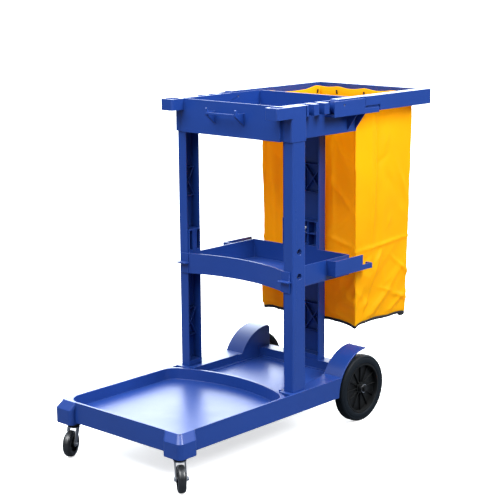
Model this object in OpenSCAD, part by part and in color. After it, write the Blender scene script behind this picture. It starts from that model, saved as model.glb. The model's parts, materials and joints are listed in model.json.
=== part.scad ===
// Housekeeping cart: moulded base with a bucket tray, three uprights, a shelf,
// a top tray and a fold-up frame that holds an open waste bag.
// Millimetres, +Z up, floor at z = 0, front (bucket tray and casters) towards -Y.

/* [Base] */
// Overall width of the base between its side walls
base_w = 466; // [420:1:560]
// Length of the base from its front wall to its rear wall
base_l = 800; // [760:1:960]
// Height of the base's walls
base_h = 60; // [52:1:76]
// Wall thickness of the base moulding
base_wall = 4; // [3:0.5:6]
// Depth of the bucket tray below the wall tops
bucket_depth = 34; // [20:1:38]
// Radius of the bucket tray's bowed rear lip
lip_r = 470; // [400:5:600]
// Distance from the front uprights' front faces back to the middle of the rear lip
lip_lead = 12; // [4:1:20]
// Thickness of the rear lip's ridge
lip_t = 8; // [5:1:12]
// Depth of the rear deck below the wall tops
deck_depth = 22; // [15:1:26]
// Extra depth of the rear deck's middle panel
deck_step = 4; // [2:0.5:6]
// Height of the rear rim above the side walls
rim_rise = 4; // [2:1:8]
// Width of the rear rim, front to back
rim_w = 43; // [40:1:60]
// How far the caster bosses stand out past the base's walls
boss_out = 17; // [10:1:22]
// Side length of a caster boss
boss_w = 70; // [62:1:80]
// Height of the sloping top of a caster boss
boss_slope = 23; // [14:1:28]
// How far the caster bosses reach below the base's walls
boss_drop = 6; // [3:1:8]
// Thickness of the stiffening ribs
rib_t = 3; // [2:0.5:5]
// Depth of the ribs under the base's floors
floor_rib_h = 8; // [4:1:12]

/* [Rear wheels] */
// Outer radius of the rear tyres
wheel_r = 101.5; // [92:0.5:122]
// Width of the rear tyres
wheel_w = 34; // [28:1:40]
// Outer radius of the spoked wheel centre
wheel_rim_r = 76; // [66:1:80]
// Number of spokes in a rear wheel
spokes = 12; // [8:1:16]
// Distance from the base's rear wall forward to the rear axle
axle_in = 14; // [8:1:24]
// Radius of the rear axle
axle_r = 6; // [5:0.5:8]
// Width of a wheel house, from the base's side wall plane inwards
house_w = 63; // [56:1:74]
// Gap between the rear tyres and the wheel houses' skins
house_clear = 24.5; // [18:0.5:32]
// Gap between the axle ends' caps and the side walls' planes
wheel_inset = 9; // [4:1:14]

/* [Casters] */
// Radius of the caster wheels
caster_r = 37.5; // [32:0.5:45]
// Gap between the caster tyres and the fork crowns above them
caster_clear = 4; // [3:0.5:8]
// Width of the caster tyres
caster_w = 22; // [18:1:26]
// Offset of the caster wheel's axle from the swivel axis
caster_trail = 22; // [16:1:26]
// Radius of the caster stems
stem_r = 5.5; // [4.5:0.5:7]
// Distance from the base's side wall plane in to the swivel axis
caster_inset = 21; // [16:1:26]
// Distance from the front wall back to the swivel axis
caster_setback = 20; // [14:1:24]
// Resting swivel angle of the left caster, from straight ahead
caster_turn_left = 24; // [0:1:90]
// Resting swivel angle of the right caster, from straight ahead
caster_turn_right = 52; // [0:1:90]

/* [Uprights] */
// Distance from the base's side wall planes in to the uprights' outer faces
post_inset = 9; // [6:1:14]
// Width of a front upright's channel, seen from the front
post_w = 34; // [28:1:44]
// Depth of a front upright's channel, front to back
post_d = 55; // [46:1:64]
// Distance from the front wall to the front uprights' front faces
post_setback = 462; // [455:1:470]
// Wall thickness of the uprights
post_t = 3.5; // [2.5:0.5:5]
// Radius of the uprights' outer vertical edges
post_round = 5; // [2:0.5:6]
// Depth of the cross ribs inside the uprights
post_rib_h = 12; // [6:1:18]
// Width of the rear upright
rear_post_w = 144; // [110:1:150]
// Depth of the rear upright
rear_post_d = 33; // [28:1:38]
// Height of the top tray's underside above the floor
tray_z = 877; // [760:1:960]
// Length of the tenons on top of the front uprights
tenon_l = 38; // [20:1:50]

/* [Shelf] */
// Height of the middle shelf's underside above the floor
shelf_z = 452; // [380:1:520]
// Height of the shelf's walls
shelf_h = 61; // [40:1:70]
// Wall thickness of the shelf
shelf_t = 4; // [3:0.5:5]
// How far the front wall bows in towards the rear
shelf_bow = 38; // [15:1:50]
// How far the side troughs stand out from the shelf's side walls
trough_out = 34; // [24:1:38]
// How far the side troughs reach behind the shelf's rear wall
trough_tail = 23.5; // [5:0.5:26]
// Length of the side troughs
trough_l = 129; // [80:1:160]
// Height of the troughs' lips
trough_h = 46; // [30:1:54]
// Length of the tongues behind the troughs
tongue_l = 45; // [25:1:60]
// Height of the mounting lugs above the shelf's walls
lug_rise = 70; // [56:1:84]

/* [Top tray] */
// Height of the top tray's walls
tray_h = 98; // [84:1:120]
// Wall thickness of the top tray
tray_t = 4; // [3:0.5:5]
// How far the tray's front wall stands ahead of the uprights' front faces
tray_lead = 16; // [10:1:22]
// How far the rear upright stands out behind the top tray's rear wall
tray_lap = 4; // [2:0.5:7]
// Radius of the holes in the two handle rings
ring_r = 20; // [14:0.5:21]
// Wall of the handle rings around their holes
ring_wall = 4; // [3:0.5:6]
// Height of the handle rings
ring_h = 33; // [24:1:40]
// How far the handle rings reach ahead of the uprights' front faces
ring_reach = 65; // [58:1:74]
// Width of one notch in the side rails
notch_w = 23; // [18:1:24]
// Width of one block between the notches
block_w = 22; // [16:1:24]
// Height of the notched rail's blocks
block_h = 32; // [22:1:38]
// Height of the arm channels at the sides
rail_h = 45; // [36:1:46]
// Length of the rest tongue that carries each arm of the bag frame
rest_l = 66; // [40:1:80]
// Thickness of the front handle's bar
handle_t = 8; // [6:1:12]
// Distance between the front handle's two brackets
handle_span = 112; // [80:1:160]
// How far the front handle stands out
handle_out = 36; // [28:1:48]
// Height of the front handle's brackets
handle_h = 36; // [26:1:52]
// Height of the front handle above the tray's underside
handle_rise = 70; // [60:1:76]

/* [Bag frame] */
// Height of the bag frame's bars
bar_h = 45; // [38:1:46]
// Thickness of the bag frame's bars
bar_t = 25; // [18:1:26]
// Distance from the tray's rear wall to the bag frame's outer rear face
frame_reach = 320; // [240:1:400]
// Radius of the bag frame's pivot pins
pin_r = 3; // [2.5:0.5:5]
// Distance from the arm channels' front ends back to the pivot pins
pin_inset = 45; // [38:1:60]
// Height of the bag, from its floor to its top edge
bag_h = 680; // [500:5:740]
// Thickness of the bag's cloth, as a solid
cloth_t = 2; // [1.5:0.5:3]
// How much the bag narrows towards its floor at the rear
bag_taper = 26; // [0:1:40]

/* [Fits] */
// Radial gap of a running fit, shaft in hole
run_gap = 0.05; // [0.02:0.01:0.1]
// Gap between two mouldings that fit into each other
fit_gap = 0.5; // [0.3:0.1:1]
// Gap between parts that move past each other
move_gap = 2.5; // [1.5:0.5:4]

/* [Hidden] */
$fn = 64;
eps = 0.01;

// Caster stack, from the boss down
housing_h = 11;
housing_r = 20;
race_h = 3;
race_r = 16;
crown_t = 3;
crown_z = 2*caster_r + caster_clear;
boss_z = crown_z + crown_t + race_h + housing_h;
stem_up = 26;
stem_head_r = 7.5;
stem_head_h = 2.5;
leg_t = 2.5;
leg_gap = 1.5;
leg_in = caster_w/2 + leg_gap;
bolt_r = 4;
bolt_head_r = 6.5;
bolt_head_h = 4;

// Heights that follow from the casters
base_z = boss_z + boss_drop;
base_top = base_z + base_h;
rear_z = base_top + rim_rise;
top_z = tray_z + tray_h;
caster_x = base_w/2 - caster_inset;
axle_setback = base_l - axle_in;
lip_y = post_setback + lip_lead;
post_span = base_w - 2*post_inset;

// How far the left caster reaches ahead of the front wall, at rest
caster_lead = (caster_trail + caster_r)*cos(caster_turn_left)
    + caster_w/2*sin(caster_turn_left) - caster_setback;
// Compartment, arms and bag, front to back
tray_front = post_setback - tray_lead;
tray_rear = base_l - rim_w + rear_post_d - tray_lap;
frame_rear = tray_rear + frame_reach;
// The origin stands midway between the casters and the bag frame's rear bar
front_y = -(frame_rear - caster_lead)/2;

y_bosses = front_y - boss_out;
y_caster = front_y + caster_setback;
y_axle = front_y + axle_setback;
y_base_rear = front_y + base_l;
y_rim = y_base_rear - rim_w;
y_post = front_y + post_setback;
y_tray = front_y + tray_front;
y_tray_rear = front_y + tray_rear;
y_frame_rear = front_y + frame_rear;

inner_x = post_span/2 - post_w - fit_gap;
bucket_z = base_top - bucket_depth;
deck_z = base_top - deck_depth;
panel_z = deck_z - deck_step;
rim_wall = base_wall + 3;
boss_edge = 1;
boss_round = 15;
boss_flare = 7;
bucket_corner = 40;
lip_corner = 50;
lip_cy = front_y + lip_y - lip_r;
deck_wall = 5;
// Full-depth cross wall under the base, ahead of the lip
cross_lead = 70;
y_cross = front_y + lip_y - cross_lead;

// Rear axle, wheels and wheel houses
z_axle = wheel_r;
house_x = base_w/2 - house_w;
house_gap = 2*house_x;
house_wall = 5;
house_skin = 4;
house_r = wheel_r + house_clear + house_skin;
// Where the middle of the skin meets the level of the wall tops
y_house_foot = y_axle - sqrt(pow(house_r - house_skin/2, 2) - pow(base_top - z_axle, 2));
wheel_x1 = base_w/2 - wheel_inset;
wheel_x0 = wheel_x1 - wheel_w;
hub_r = 17;
hub_over = 2;
washer_t = 1.6;
washer_r = 13;
cap_l = 7;
cap_r = 11;
lug_r = 17;
lug_w = 22;
axle_end = wheel_x1 + hub_over + washer_t + cap_l - 2;

// Uprights
rear_foot_z = rear_z;
foot_h = 16;
y_rear_post = y_rim;
lug_fit = fit_gap;
lug_back = 6;
lug_foot = 18;
rear_lug_rise = 12;
shelf_top = shelf_z + shelf_h;
y_shelf_rear = y_rear_post - fit_gap;
screw_y = y_post + post_d/2;
screw_in = 17;
screw_z = [shelf_top - screw_in, shelf_top + lug_rise - screw_in];
screw_r = 2.5;
screw_head_r = 6;
screw_head_h = 4;
screw_hole_r = 9;

// Top tray and bag frame
side_x = post_span/2 + 2;
ledge_t = 4;
rail_z = top_z - rail_h;
block_z = top_z - block_h;
cap_over = 6;
cap_front = y_post - cap_over;
cap_rear = y_post + post_d + cap_over/2;
cap_round = 6;
ring_round = 7;
notch_lead = 8;
notch_y = cap_rear + notch_lead;
pitch = notch_w + block_w;
y_rail = notch_y + 2*pitch + notch_w;
y_rail_end = y_tray_rear - tray_t;
rail_wall = 4;
arm_x1 = side_x - rail_wall - 2;
arm_x0 = inner_x + 2.5;
arm_z = rail_z + ledge_t + fit_gap;
arm_top = arm_z + bar_h;
pin_drop = 17;
pin_z = arm_top - pin_drop;
pin_y = y_rail + pin_inset;
pin_sunk = 2;
gusset_share = 0.72;
rest_h = 15;
rest_gap = 6;
bag_gap = tray_lap + 3;
bag_side_gap = 9;
bag_rear_gap = 12;
bag_sink = 8;
bag_x = arm_x0 - bag_side_gap;
y_bag = y_tray_rear + bag_gap;
y_bag_rear = y_frame_rear - bar_t - bag_rear_gap;
bag_top = arm_top - bag_sink;
peg_r = 4;
peg_l = 6;

blue = [0.12, 0.25, 0.6];
yellow = [0.98, 0.75, 0.1];
black = [0.08, 0.08, 0.09];
steel = [0.7, 0.72, 0.75];

// ---- helpers ----

module both_sides() { children(); mirror([1, 0, 0]) children(); }

module block(x0, x1, y0, y1, z0, z1)
    translate([x0, y0, z0]) cube([x1 - x0, y1 - y0, z1 - z0]);

module rod(r, p0, len, axis = "x")
    translate(p0)
        rotate(axis == "x" ? [0, 90, 0] : axis == "y" ? [-90, 0, 0] : [0, 0, 0])
            cylinder(r = r, h = len);

// Rectangle from corner to corner with rounded corners
module rounded(x0, x1, y0, y1, r) {
    translate([x0 + r, y0]) square([x1 - x0 - 2*r, y1 - y0]);
    translate([x0, y0 + r]) square([x1 - x0, y1 - y0 - 2*r]);
    for (x = [x0 + r, x1 - r], y = [y0 + r, y1 - r]) translate([x, y]) circle(r);
}

// Extrudes a shape drawn in (y, z) along +X from x
module along_x(x, len) translate([x, 0, 0]) rotate([90, 0, 90]) linear_extrude(len) children();

// Extrudes a shape drawn in (x, z) along +Y from y
module along_y(y, len) translate([0, y + len, 0]) rotate([90, 0, 0]) linear_extrude(len) children();

// Upright prism with the two corners at its x1 side rounded
module rounded_out(x0, x1, y0, y1, r, z0, z1)
    translate([0, 0, z0]) linear_extrude(z1 - z0) intersection() {
        rounded(x0 - 2*r, x1, y0, y1, r);
        translate([x0, y0]) square([x1 - x0, y1 - y0]);
    }

// Cross of two ribs in a (y, z) cell
module cross_ribs(y0, y1, z0, z1, t) {
    run = y1 - y0;
    rise = z1 - z0;
    for (s = [-1, 1])
        intersection() {
            translate([(y0 + y1)/2, (z0 + z1)/2]) rotate(s*atan(rise/run))
                square([norm([run, rise]) + 2*t, t], center = true);
            translate([y0, z0]) square([run, rise]);
        }
}

// ---- base ----

module bucket_outline()
    offset(lip_corner) offset(-lip_corner)
        intersection() {
            translate([0, lip_cy]) circle(lip_r, $fn = 180);
            rounded(-base_w/2 + rim_wall, base_w/2 - rim_wall, front_y + rim_wall,
                front_y + lip_y, bucket_corner);
        }

module base_outline() {
    translate([-base_w/2, front_y]) square([base_w, y_house_foot - front_y]);
    translate([-house_x, front_y]) square([house_gap, base_l]);
}

module deck_outline() {
    difference() {
        union() {
            translate([-base_w/2 + deck_wall, front_y + lip_y/2])
                square([base_w - 2*deck_wall, axle_setback - house_r - lip_y/2]);
            translate([-house_x + house_wall, front_y + lip_y/2])
                square([house_gap - 2*house_wall, base_l - rim_w - lip_y/2]);
        }
        translate([0, lip_cy]) circle(lip_r + lip_t, $fn = 180);
        both_sides() post_pad();
    }
}

// Level pad under a front upright, out to the side wall and back to the wheel house
pad_side = 8;
pad_front = 14;
pad_rear = 8;
module post_pad() {
    translate([inner_x - pad_side, y_post - pad_front])
        square([base_w/2 - inner_x + pad_side, pad_front + post_d + pad_rear]);
    translate([house_x, y_post]) square([base_w/2 - house_x, y_house_foot - y_post]);
}

module panel_outline()
    offset(delta = -lip_t/2) difference() {
        intersection() {
            deck_outline();
            translate([-house_x - pad_side, front_y]) square([house_gap + 2*pad_side, base_l]);
        }
        both_sides() offset(delta = lip_t) post_pad();
    }

// Sloping block at a front corner that carries a caster
module caster_boss() {
    x1 = base_w/2 + boss_out;
    y0 = front_y - boss_out;
    slope_z = base_top - boss_slope;
    translate([0, 0, boss_z]) linear_extrude(slope_z - boss_z)
        rounded(x1 - boss_w, x1, y0, y0 + boss_w, boss_round);
    hull() {
        translate([0, 0, slope_z - boss_edge]) linear_extrude(boss_edge)
            rounded(x1 - boss_w, x1, y0, y0 + boss_w, boss_round);
        translate([0, 0, base_top - boss_edge]) linear_extrude(boss_edge)
            rounded(x1 - boss_w - boss_flare, base_w/2 + 1, front_y - 1,
                y0 + boss_w + boss_flare, 2*boss_round/3);
    }
}

// Side view of a wheel house, (y, z)
module house_side(r) {
    intersection() {
        translate([y_axle, z_axle]) circle(r, $fn = 120);
        translate([y_axle - r, base_z]) square([r, z_axle + r - base_z]);
    }
}

module wheel_house() {
    end_r = 12;
    // inner wall, with its rounded rear corner
    along_x(house_x - house_wall, house_wall) {
        house_side(house_r);
        translate([y_axle - 1, base_z])
            square([y_base_rear - y_axle + 1, z_axle + house_r - end_r - base_z]);
        translate([y_axle - 1, base_z])
            square([y_base_rear - y_axle + 1 - end_r, z_axle + house_r - base_z]);
        translate([y_base_rear - end_r, z_axle + house_r - end_r]) circle(end_r);
    }
    // curved skin over the wheel
    along_x(house_x - eps, base_w/2 - house_x + eps) difference() {
        house_side(house_r);
        house_side(house_r - house_skin);
        translate([y_axle - house_r + house_skin + 1, 0]) square([house_r, z_axle]);
    }
    // lug around the axle
    along_x(house_x - lug_w, lug_w) {
        translate([y_axle, z_axle]) circle(lug_r);
        translate([y_axle - lug_r, z_axle])
            square([min(2*lug_r, y_base_rear - y_axle + lug_r), panel_z - z_axle]);
    }
}

// Hollow under a floor, with a grid of low ribs on the floor's underside
module pockets(x_span, y0, y1, nx, ny, z1) {
    ledge = 1;
    wx = (x_span - 2*ledge - (nx - 1)*rib_t)/nx;
    wy = (y1 - y0 - 2*ledge - (ny - 1)*rib_t)/ny;
    block(-x_span/2, x_span/2, y0, y1, base_z - 1, z1 - floor_rib_h);
    for (i = [0:nx - 1], j = [0:ny - 1])
        translate([-x_span/2 + ledge + i*(wx + rib_t), y0 + ledge + j*(wy + rib_t), base_z])
            cube([wx, wy, z1 - base_z]);
}

module screw_column(x, y, r) translate([x, y, base_z]) cylinder(r = r, h = base_h - 2);

foot_screws = [for (s = [-1, 1], d = [0.25, 0.75]) [s*(post_span/2 - post_w/2), y_post + d*post_d]];
rear_screws = [for (s = [-1, 1]) [s*rear_post_w/4, y_rear_post + rear_post_d/2]];
column_r = 9;
sink_r = screw_head_r + 1;
sink_floor = 14;
sink_z = base_top - sink_floor;
base_screw_l = 26;

module base_platform() color(blue) difference() {
    union() {
        difference() {
            union() {
                translate([0, 0, base_z]) linear_extrude(base_h) base_outline();
                block(-house_x, house_x, y_rim, y_base_rear, base_z, rear_z);
                both_sides() caster_boss();
            }
            both_sides() rod(house_r - house_skin/2, [house_x, y_axle, z_axle], base_w/2);
            translate([0, 0, bucket_z]) linear_extrude(base_h) bucket_outline();
            translate([0, 0, deck_z]) linear_extrude(deck_depth + eps) deck_outline();
            translate([0, 0, panel_z]) linear_extrude(base_h) panel_outline();
            difference() {
                union() {
                    pockets(base_w - 2*base_wall, front_y + base_wall,
                        y_cross, 4, 4, bucket_z - base_wall);
                    pockets(base_w - 2*base_wall, y_cross + rib_t,
                        y_axle - house_r - base_wall, 4, 2, bucket_z - base_wall);
                    pockets(house_gap - 2*house_wall, y_axle - house_r - base_wall + rib_t,
                        y_base_rear - base_wall, 3, 1, panel_z - base_wall);
                }
                both_sides() block(base_w/2 + boss_out - boss_w, base_w/2, front_y,
                    front_y + boss_w - boss_out, base_z - 2, base_top);
            }
        }
        both_sides() wheel_house();
        for (p = concat(foot_screws, rear_screws)) screw_column(p[0], p[1], column_r);
    }
    for (s = [-1, 1])
        translate([s*caster_x, y_caster, boss_z - 1])
            cylinder(r = stem_r + run_gap, h = stem_up + 1);
    rod(axle_r + run_gap, [-house_x - 1, y_axle, z_axle], house_gap + 2);
    for (p = foot_screws) {
        translate([p[0], p[1], base_z - 1]) cylinder(r = sink_r, h = sink_z - base_z + 1);
        translate([p[0], p[1], base_z]) cylinder(r = screw_r + 0.2, h = base_h + 1);
    }
    for (p = rear_screws) {
        translate([p[0], p[1], base_z - 1]) cylinder(r = sink_r, h = sink_z - base_z + 1);
        translate([p[0], p[1], base_z]) cylinder(r = screw_r + 0.2, h = base_h + rim_rise + 1);
    }
}

module screw_up(p, z0, len) translate([p[0], p[1], z0]) {
    translate([0, 0, -screw_head_h]) cylinder(r = screw_head_r, h = screw_head_h);
    translate([0, 0, -eps]) cylinder(r = screw_r, h = len);
}

module base_screws() color(steel) {
    for (p = foot_screws) screw_up(p, sink_z, base_screw_l);
    for (p = rear_screws) screw_up(p, sink_z, base_screw_l + rim_rise);
}

// ---- uprights ----

// Cross-ribbed cells, shared by all three uprights, a little below each free stretch's middle
cell_h = 84;
cell_sink = [21, 13];
low_z = (base_top + foot_h + shelf_z)/2 - cell_sink[0];
high_z = (shelf_top + lug_rise + rear_lug_rise + tray_z)/2 - cell_sink[1];
low_cells = [low_z - cell_h/2, low_z + cell_h/2];
high_cells = [high_z - cell_h/2, high_z + cell_h/2];

module front_upright() {
    x1 = post_span/2;
    x0 = x1 - post_w;
    y1 = y_post + post_d;
    difference() {
        union() {
            difference() {
                rounded_out(x0, x1, y_post, y1, post_round, base_top, tray_z);
                block(x0 - 1, x1 - post_t, y_post + post_t, y1 - post_t, base_top + foot_h,
                    tray_z - post_t);
            }
            block(x0 + 1, x1 - post_t, y_post + post_t + fit_gap, y1 - post_t - fit_gap,
                tray_z - post_t, tray_z + tenon_l);
            along_x(x1 - post_t - post_rib_h, post_rib_h + eps) {
                for (c = [low_cells, high_cells]) {
                    cross_ribs(y_post + post_t, y1 - post_t, c[0], c[1], rib_t);
                    for (z = c) translate([y_post + post_t, z - rib_t/2])
                        square([post_d - 2*post_t, rib_t]);
                }
            }
        }
        for (z = screw_z) rod(screw_hole_r, [x1 - post_t - 1, screw_y, z], post_t + 2);
        for (p = foot_screws) if (p[0] > 0)
            translate([p[0], p[1], base_top - 1]) cylinder(r = screw_r + run_gap, h = foot_h - 1);
        rod(screw_r + run_gap, [x0, screw_y, tray_z + tenon_l/2], 16);
    }
}

module front_upright_right() color(blue) front_upright();
module front_upright_left() color(blue) mirror([1, 0, 0]) front_upright();

module rear_upright() color(blue) {
    x1 = rear_post_w/2;
    y1 = y_rear_post + rear_post_d;
    w = x1 - post_t;
    difference() {
        union() {
            difference() {
                both_sides() rounded_out(-eps, x1, y_rear_post, y1, post_round, rear_foot_z, tray_z);
                block(-x1 + post_t, x1 - post_t, y_rear_post - 1, y1 - post_t,
                    rear_foot_z + foot_h, tray_z - foot_h);
            }
            along_y(y1 - post_t - post_rib_h, post_rib_h + eps) for (c = [low_cells, high_cells]) {
                cross_ribs(-w, 0, c[0], c[1], rib_t);
                cross_ribs(0, w, c[0], c[1], rib_t);
                translate([-rib_t/2, c[0]]) square([rib_t, c[1] - c[0]]);
                for (z = c) translate([-w, z - rib_t/2]) square([2*w, rib_t]);
            }
        }
        for (p = rear_screws)
            translate([p[0], p[1], rear_foot_z - 1]) cylinder(r = screw_r + run_gap, h = foot_h - 1);
        for (p = rear_screws)
            translate([p[0], p[1], tray_z - foot_h + 1]) cylinder(r = screw_r + run_gap, h = foot_h);
        rod(screw_r + run_gap, [0, y1 - post_t - 1, screw_z[1]], post_t + 2, "y");
    }
}

// ---- middle shelf ----

bow_half = inner_x;
bow_r = (bow_half*bow_half + shelf_bow*shelf_bow)/(2*shelf_bow);
y_shelf = y_post - fit_gap - shelf_t;
bow_cy = y_shelf + 1 + shelf_bow - bow_r;

// Plan of the shelf's basin, inset by d
module shelf_plan(d)
    difference() {
        translate([-inner_x + d, y_shelf - 1])
            square([2*(inner_x - d), y_shelf_rear - d - y_shelf + 1]);
        translate([0, bow_cy]) circle(bow_r + d, $fn = 180);
    }

module shelf_side() {
    trough_y1 = y_shelf_rear + trough_tail;
    trough_y0 = trough_y1 - trough_l;
    trough_z = shelf_z + shelf_h - trough_h;
    lip_x = inner_x + trough_out;
    tongue_x = inner_x + 12;
    tongue_h = 16;
    hook_out = 14;
    hook_z = shelf_z + shelf_h/2;
    // end of the front wall, in front of the upright, with a small hook
    block(inner_x - 6, post_span/2 - 10, y_shelf, y_shelf + shelf_t, shelf_z, shelf_top);
    block(inner_x - 8, post_span/2 - 4, y_shelf - hook_out, y_shelf + eps, hook_z, hook_z + shelf_t);
    // trough with its lip and floor
    block(inner_x - eps, lip_x, trough_y0, trough_y0 + shelf_t, trough_z, shelf_top);
    block(lip_x - shelf_t, lip_x, trough_y0, trough_y1, trough_z, shelf_top);
    block(inner_x - eps, lip_x, trough_y0, trough_y1, trough_z, trough_z + shelf_t);
    block(tongue_x, lip_x, trough_y0, trough_y1 + tongue_l, trough_z, trough_z + shelf_t);
    block(tongue_x, lip_x, trough_y1 + tongue_l - 6, trough_y1 + tongue_l, trough_z,
        trough_z + tongue_h);
    block(lip_x - shelf_t, lip_x, trough_y1 - eps, trough_y1 + tongue_l, trough_z, trough_z + tongue_h);
    // mounting lug inside the front upright's channel
    difference() {
        block(inner_x - shelf_t, post_span/2 - post_t - lug_fit, y_post + post_t + lug_fit,
            y_post + post_d - post_t - lug_fit, shelf_z + lug_foot, shelf_top + lug_rise);
        for (y = [y_post + post_t + lug_fit + 3, screw_y + 9])
            block(inner_x - shelf_t - 1, post_span/2 - post_t - 6, y,
                y + post_d/2 - post_t - lug_fit - 12, shelf_top + 8, shelf_top + lug_rise - 4);
        for (z = screw_z) {
            rod(screw_head_r + 1, [post_span/2 - post_t - 10, screw_y, z], 20);
            rod(screw_r + run_gap, [inner_x, screw_y, z], 40);
        }
    }
}

module rear_lug() {
    x1 = rear_post_w/2 - post_t - lug_fit;
    y1 = y_rear_post + rear_post_d - post_t - lug_fit;
    cell_w = (2*x1 - 5*rib_t)/4;
    row_h = 38;
    difference() {
        block(-x1, x1, y_shelf_rear - shelf_t, y1, shelf_z + lug_foot, shelf_top + lug_rise + rear_lug_rise);
        for (i = [0:3], j = [0:1])
            block(-x1 + rib_t + i*(cell_w + rib_t), -x1 + (i + 1)*(cell_w + rib_t),
                y_shelf_rear - shelf_t - 1, y1 - lug_back,
                shelf_top + 8 + j*row_h, shelf_top + 8 + (j + 1)*row_h - rib_t);
        rod(screw_r + run_gap, [0, y1 - lug_back - 1, screw_z[1]], lug_back + 2, "y");
        rod(screw_head_r + 1, [0, y_shelf_rear, screw_z[1]], y1 - lug_back - y_shelf_rear, "y");
    }
}

module middle_shelf() color(blue) {
    difference() {
        translate([0, 0, shelf_z]) linear_extrude(shelf_h) shelf_plan(0);
        translate([0, 0, shelf_z + shelf_t]) linear_extrude(shelf_h) shelf_plan(shelf_t);
    }
    both_sides() shelf_side();
    rear_lug();
}

module shelf_screws() color(steel) {
    both_sides() for (z = screw_z) side_screw(post_span/2 - post_t - 10, z);
    y1 = y_rear_post + rear_post_d;
    head_y = y1 - post_t - lug_fit - lug_back;
    rod(screw_head_r, [0, head_y - screw_head_h, screw_z[1]], screw_head_h, "y");
    rod(screw_r, [0, head_y - eps, screw_z[1]], y1 - head_y, "y");
}

module side_screw(x1, z) {
    rod(screw_head_r, [x1, screw_y, z], screw_head_h);
    rod(screw_r, [inner_x + 1, screw_y, z], x1 - inner_x - 1 + eps);
}

// ---- top tray ----

module tray_side() {
    ring_cx = side_x - ring_wall - ring_r;
    ring_cy = y_post - ring_reach + ring_wall + ring_r;
    difference() {
        union() {
            // corner cap over the front upright, with the handle ring ahead of it
            rounded_out(inner_x - eps, side_x, cap_front, cap_rear, cap_round, tray_z, top_z);
            translate([0, 0, top_z - ring_h]) linear_extrude(ring_h) difference() {
                rounded(ring_cx - ring_r - ring_wall, side_x, y_post - ring_reach,
                    cap_front + 2*cap_round, ring_round);
                translate([0, y_tray + tray_t/2]) square([inner_x - tray_t/2, post_d]);
            }
        }
        translate([ring_cx, ring_cy, top_z - ring_h - 1]) cylinder(r = ring_r, h = ring_h + 2);
        block(inner_x + 1, post_span/2 - post_t + fit_gap, y_post + post_t, y_post + post_d - post_t,
            tray_z - 1, tray_z + tenon_l + fit_gap);
        rod(screw_r + run_gap, [inner_x - 1, screw_y, tray_z + tenon_l/2], 4);
    }
    // notched rail
    block(inner_x - eps, side_x, cap_rear - eps, notch_y, block_z, top_z);
    for (i = [1, 2])
        block(inner_x - eps, side_x, notch_y + i*pitch - block_w, notch_y + i*pitch, block_z, top_z);
    // channel for the bag frame's arm
    difference() {
        union() {
            block(inner_x - eps, side_x, y_rail, y_rail_end, rail_z, rail_z + ledge_t);
            block(side_x - rail_wall, side_x, y_rail, y_rail_end, rail_z, top_z);
            block(side_x - rail_wall, side_x, y_rail_end - eps, y_rail_end + rest_l,
                rail_z, rail_z + rest_h);
            block(inner_x + 4, side_x, y_rail_end - eps, y_rail_end + rest_l,
                rail_z, rail_z + ledge_t);
        }
        rod(pin_r + run_gap, [inner_x - 1, pin_y, pin_z], side_x);
    }
    // gussets under the channel
    for (y = [y_rail + gusset_share*(y_tray_rear - y_rail), y_rail_end])
        translate([0, y, 0]) rotate([90, 0, 0]) linear_extrude(rib_t) polygon([
            [inner_x - eps, tray_z + tray_t], [side_x, rail_z + eps], [inner_x - eps, rail_z + eps]]);
}

module tray_handle() {
    z1 = tray_z + handle_rise;
    y0 = y_tray - handle_out;
    for (s = [-1, 1]) along_x(s*handle_span/2 - handle_t/2, handle_t) {
        polygon([[y_tray + eps, z1 - handle_h], [y_tray + eps, z1], [y0, z1 + 2], [y0, z1 - handle_t]]);
        // upturned tip
        translate([y0, z1 - handle_t]) square([handle_t - 1, 2*handle_t]);
        translate([y0 + (handle_t - 1)/2, z1 + handle_t]) circle((handle_t - 1)/2);
    }
    block(-handle_span/2, handle_span/2, y0, y0 + handle_t, z1 - handle_t + 1, z1 - 1);
}

module top_tray() color(blue) {
    difference() {
        block(-inner_x, inner_x, y_tray, y_tray_rear, tray_z, top_z);
        block(-inner_x + tray_t, inner_x - tray_t, y_tray + tray_t, y_tray_rear - tray_t,
            tray_z + tray_t, top_z + 1);
        for (s = [-1, 1])
            rod(screw_r + run_gap, [s*inner_x - 6, screw_y, tray_z + tenon_l/2], 12);
        for (s = [-1, 1])
            rod(pin_r + run_gap, [s*inner_x - 6, pin_y, pin_z], 12);
        for (p = rear_screws)
            translate([p[0], p[1], tray_z - 1]) cylinder(r = screw_r + 0.2, h = tray_t + 2);
    }
    both_sides() tray_side();
    tray_handle();
}

module tray_screws() color(steel) {
    for (s = [0, 1]) mirror([s, 0, 0]) {
        x0 = inner_x - tray_t;
        rod(screw_head_r, [x0 - screw_head_h, screw_y, tray_z + tenon_l/2], screw_head_h);
        rod(screw_r, [x0 - eps, screw_y, tray_z + tenon_l/2], 18);
    }
    for (p = rear_screws) {
        translate([p[0], p[1], tray_z + tray_t]) cylinder(r = screw_head_r, h = screw_head_h);
        translate([p[0], p[1], tray_z - foot_h + 3]) cylinder(r = screw_r, h = foot_h + tray_t - 3 + eps);
    }
}

// ---- bag frame and bag ----

module frame_arm() {
    y_out = y_rail_end + move_gap;
    end_r = pin_z - arm_z;
    along_x(arm_x0, arm_x1 - arm_x0) difference() {
        union() {
            translate([pin_y, arm_z]) square([y_frame_rear - pin_y, bar_h]);
            intersection() {
                translate([pin_y, pin_z]) circle(end_r);
                translate([pin_y - end_r, arm_z]) square([end_r + 1, bar_h]);
            }
        }
    }
    // outer part of the arm behind the channel, stepped over the rest tongue
    block(arm_x1 - eps, side_x - 1, y_out, y_frame_rear, arm_z + rest_h + rest_gap - ledge_t, arm_top);
    block(arm_x1 - eps, side_x - 1, y_out + rest_l + move_gap, y_frame_rear, arm_z, arm_top);
}

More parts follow.
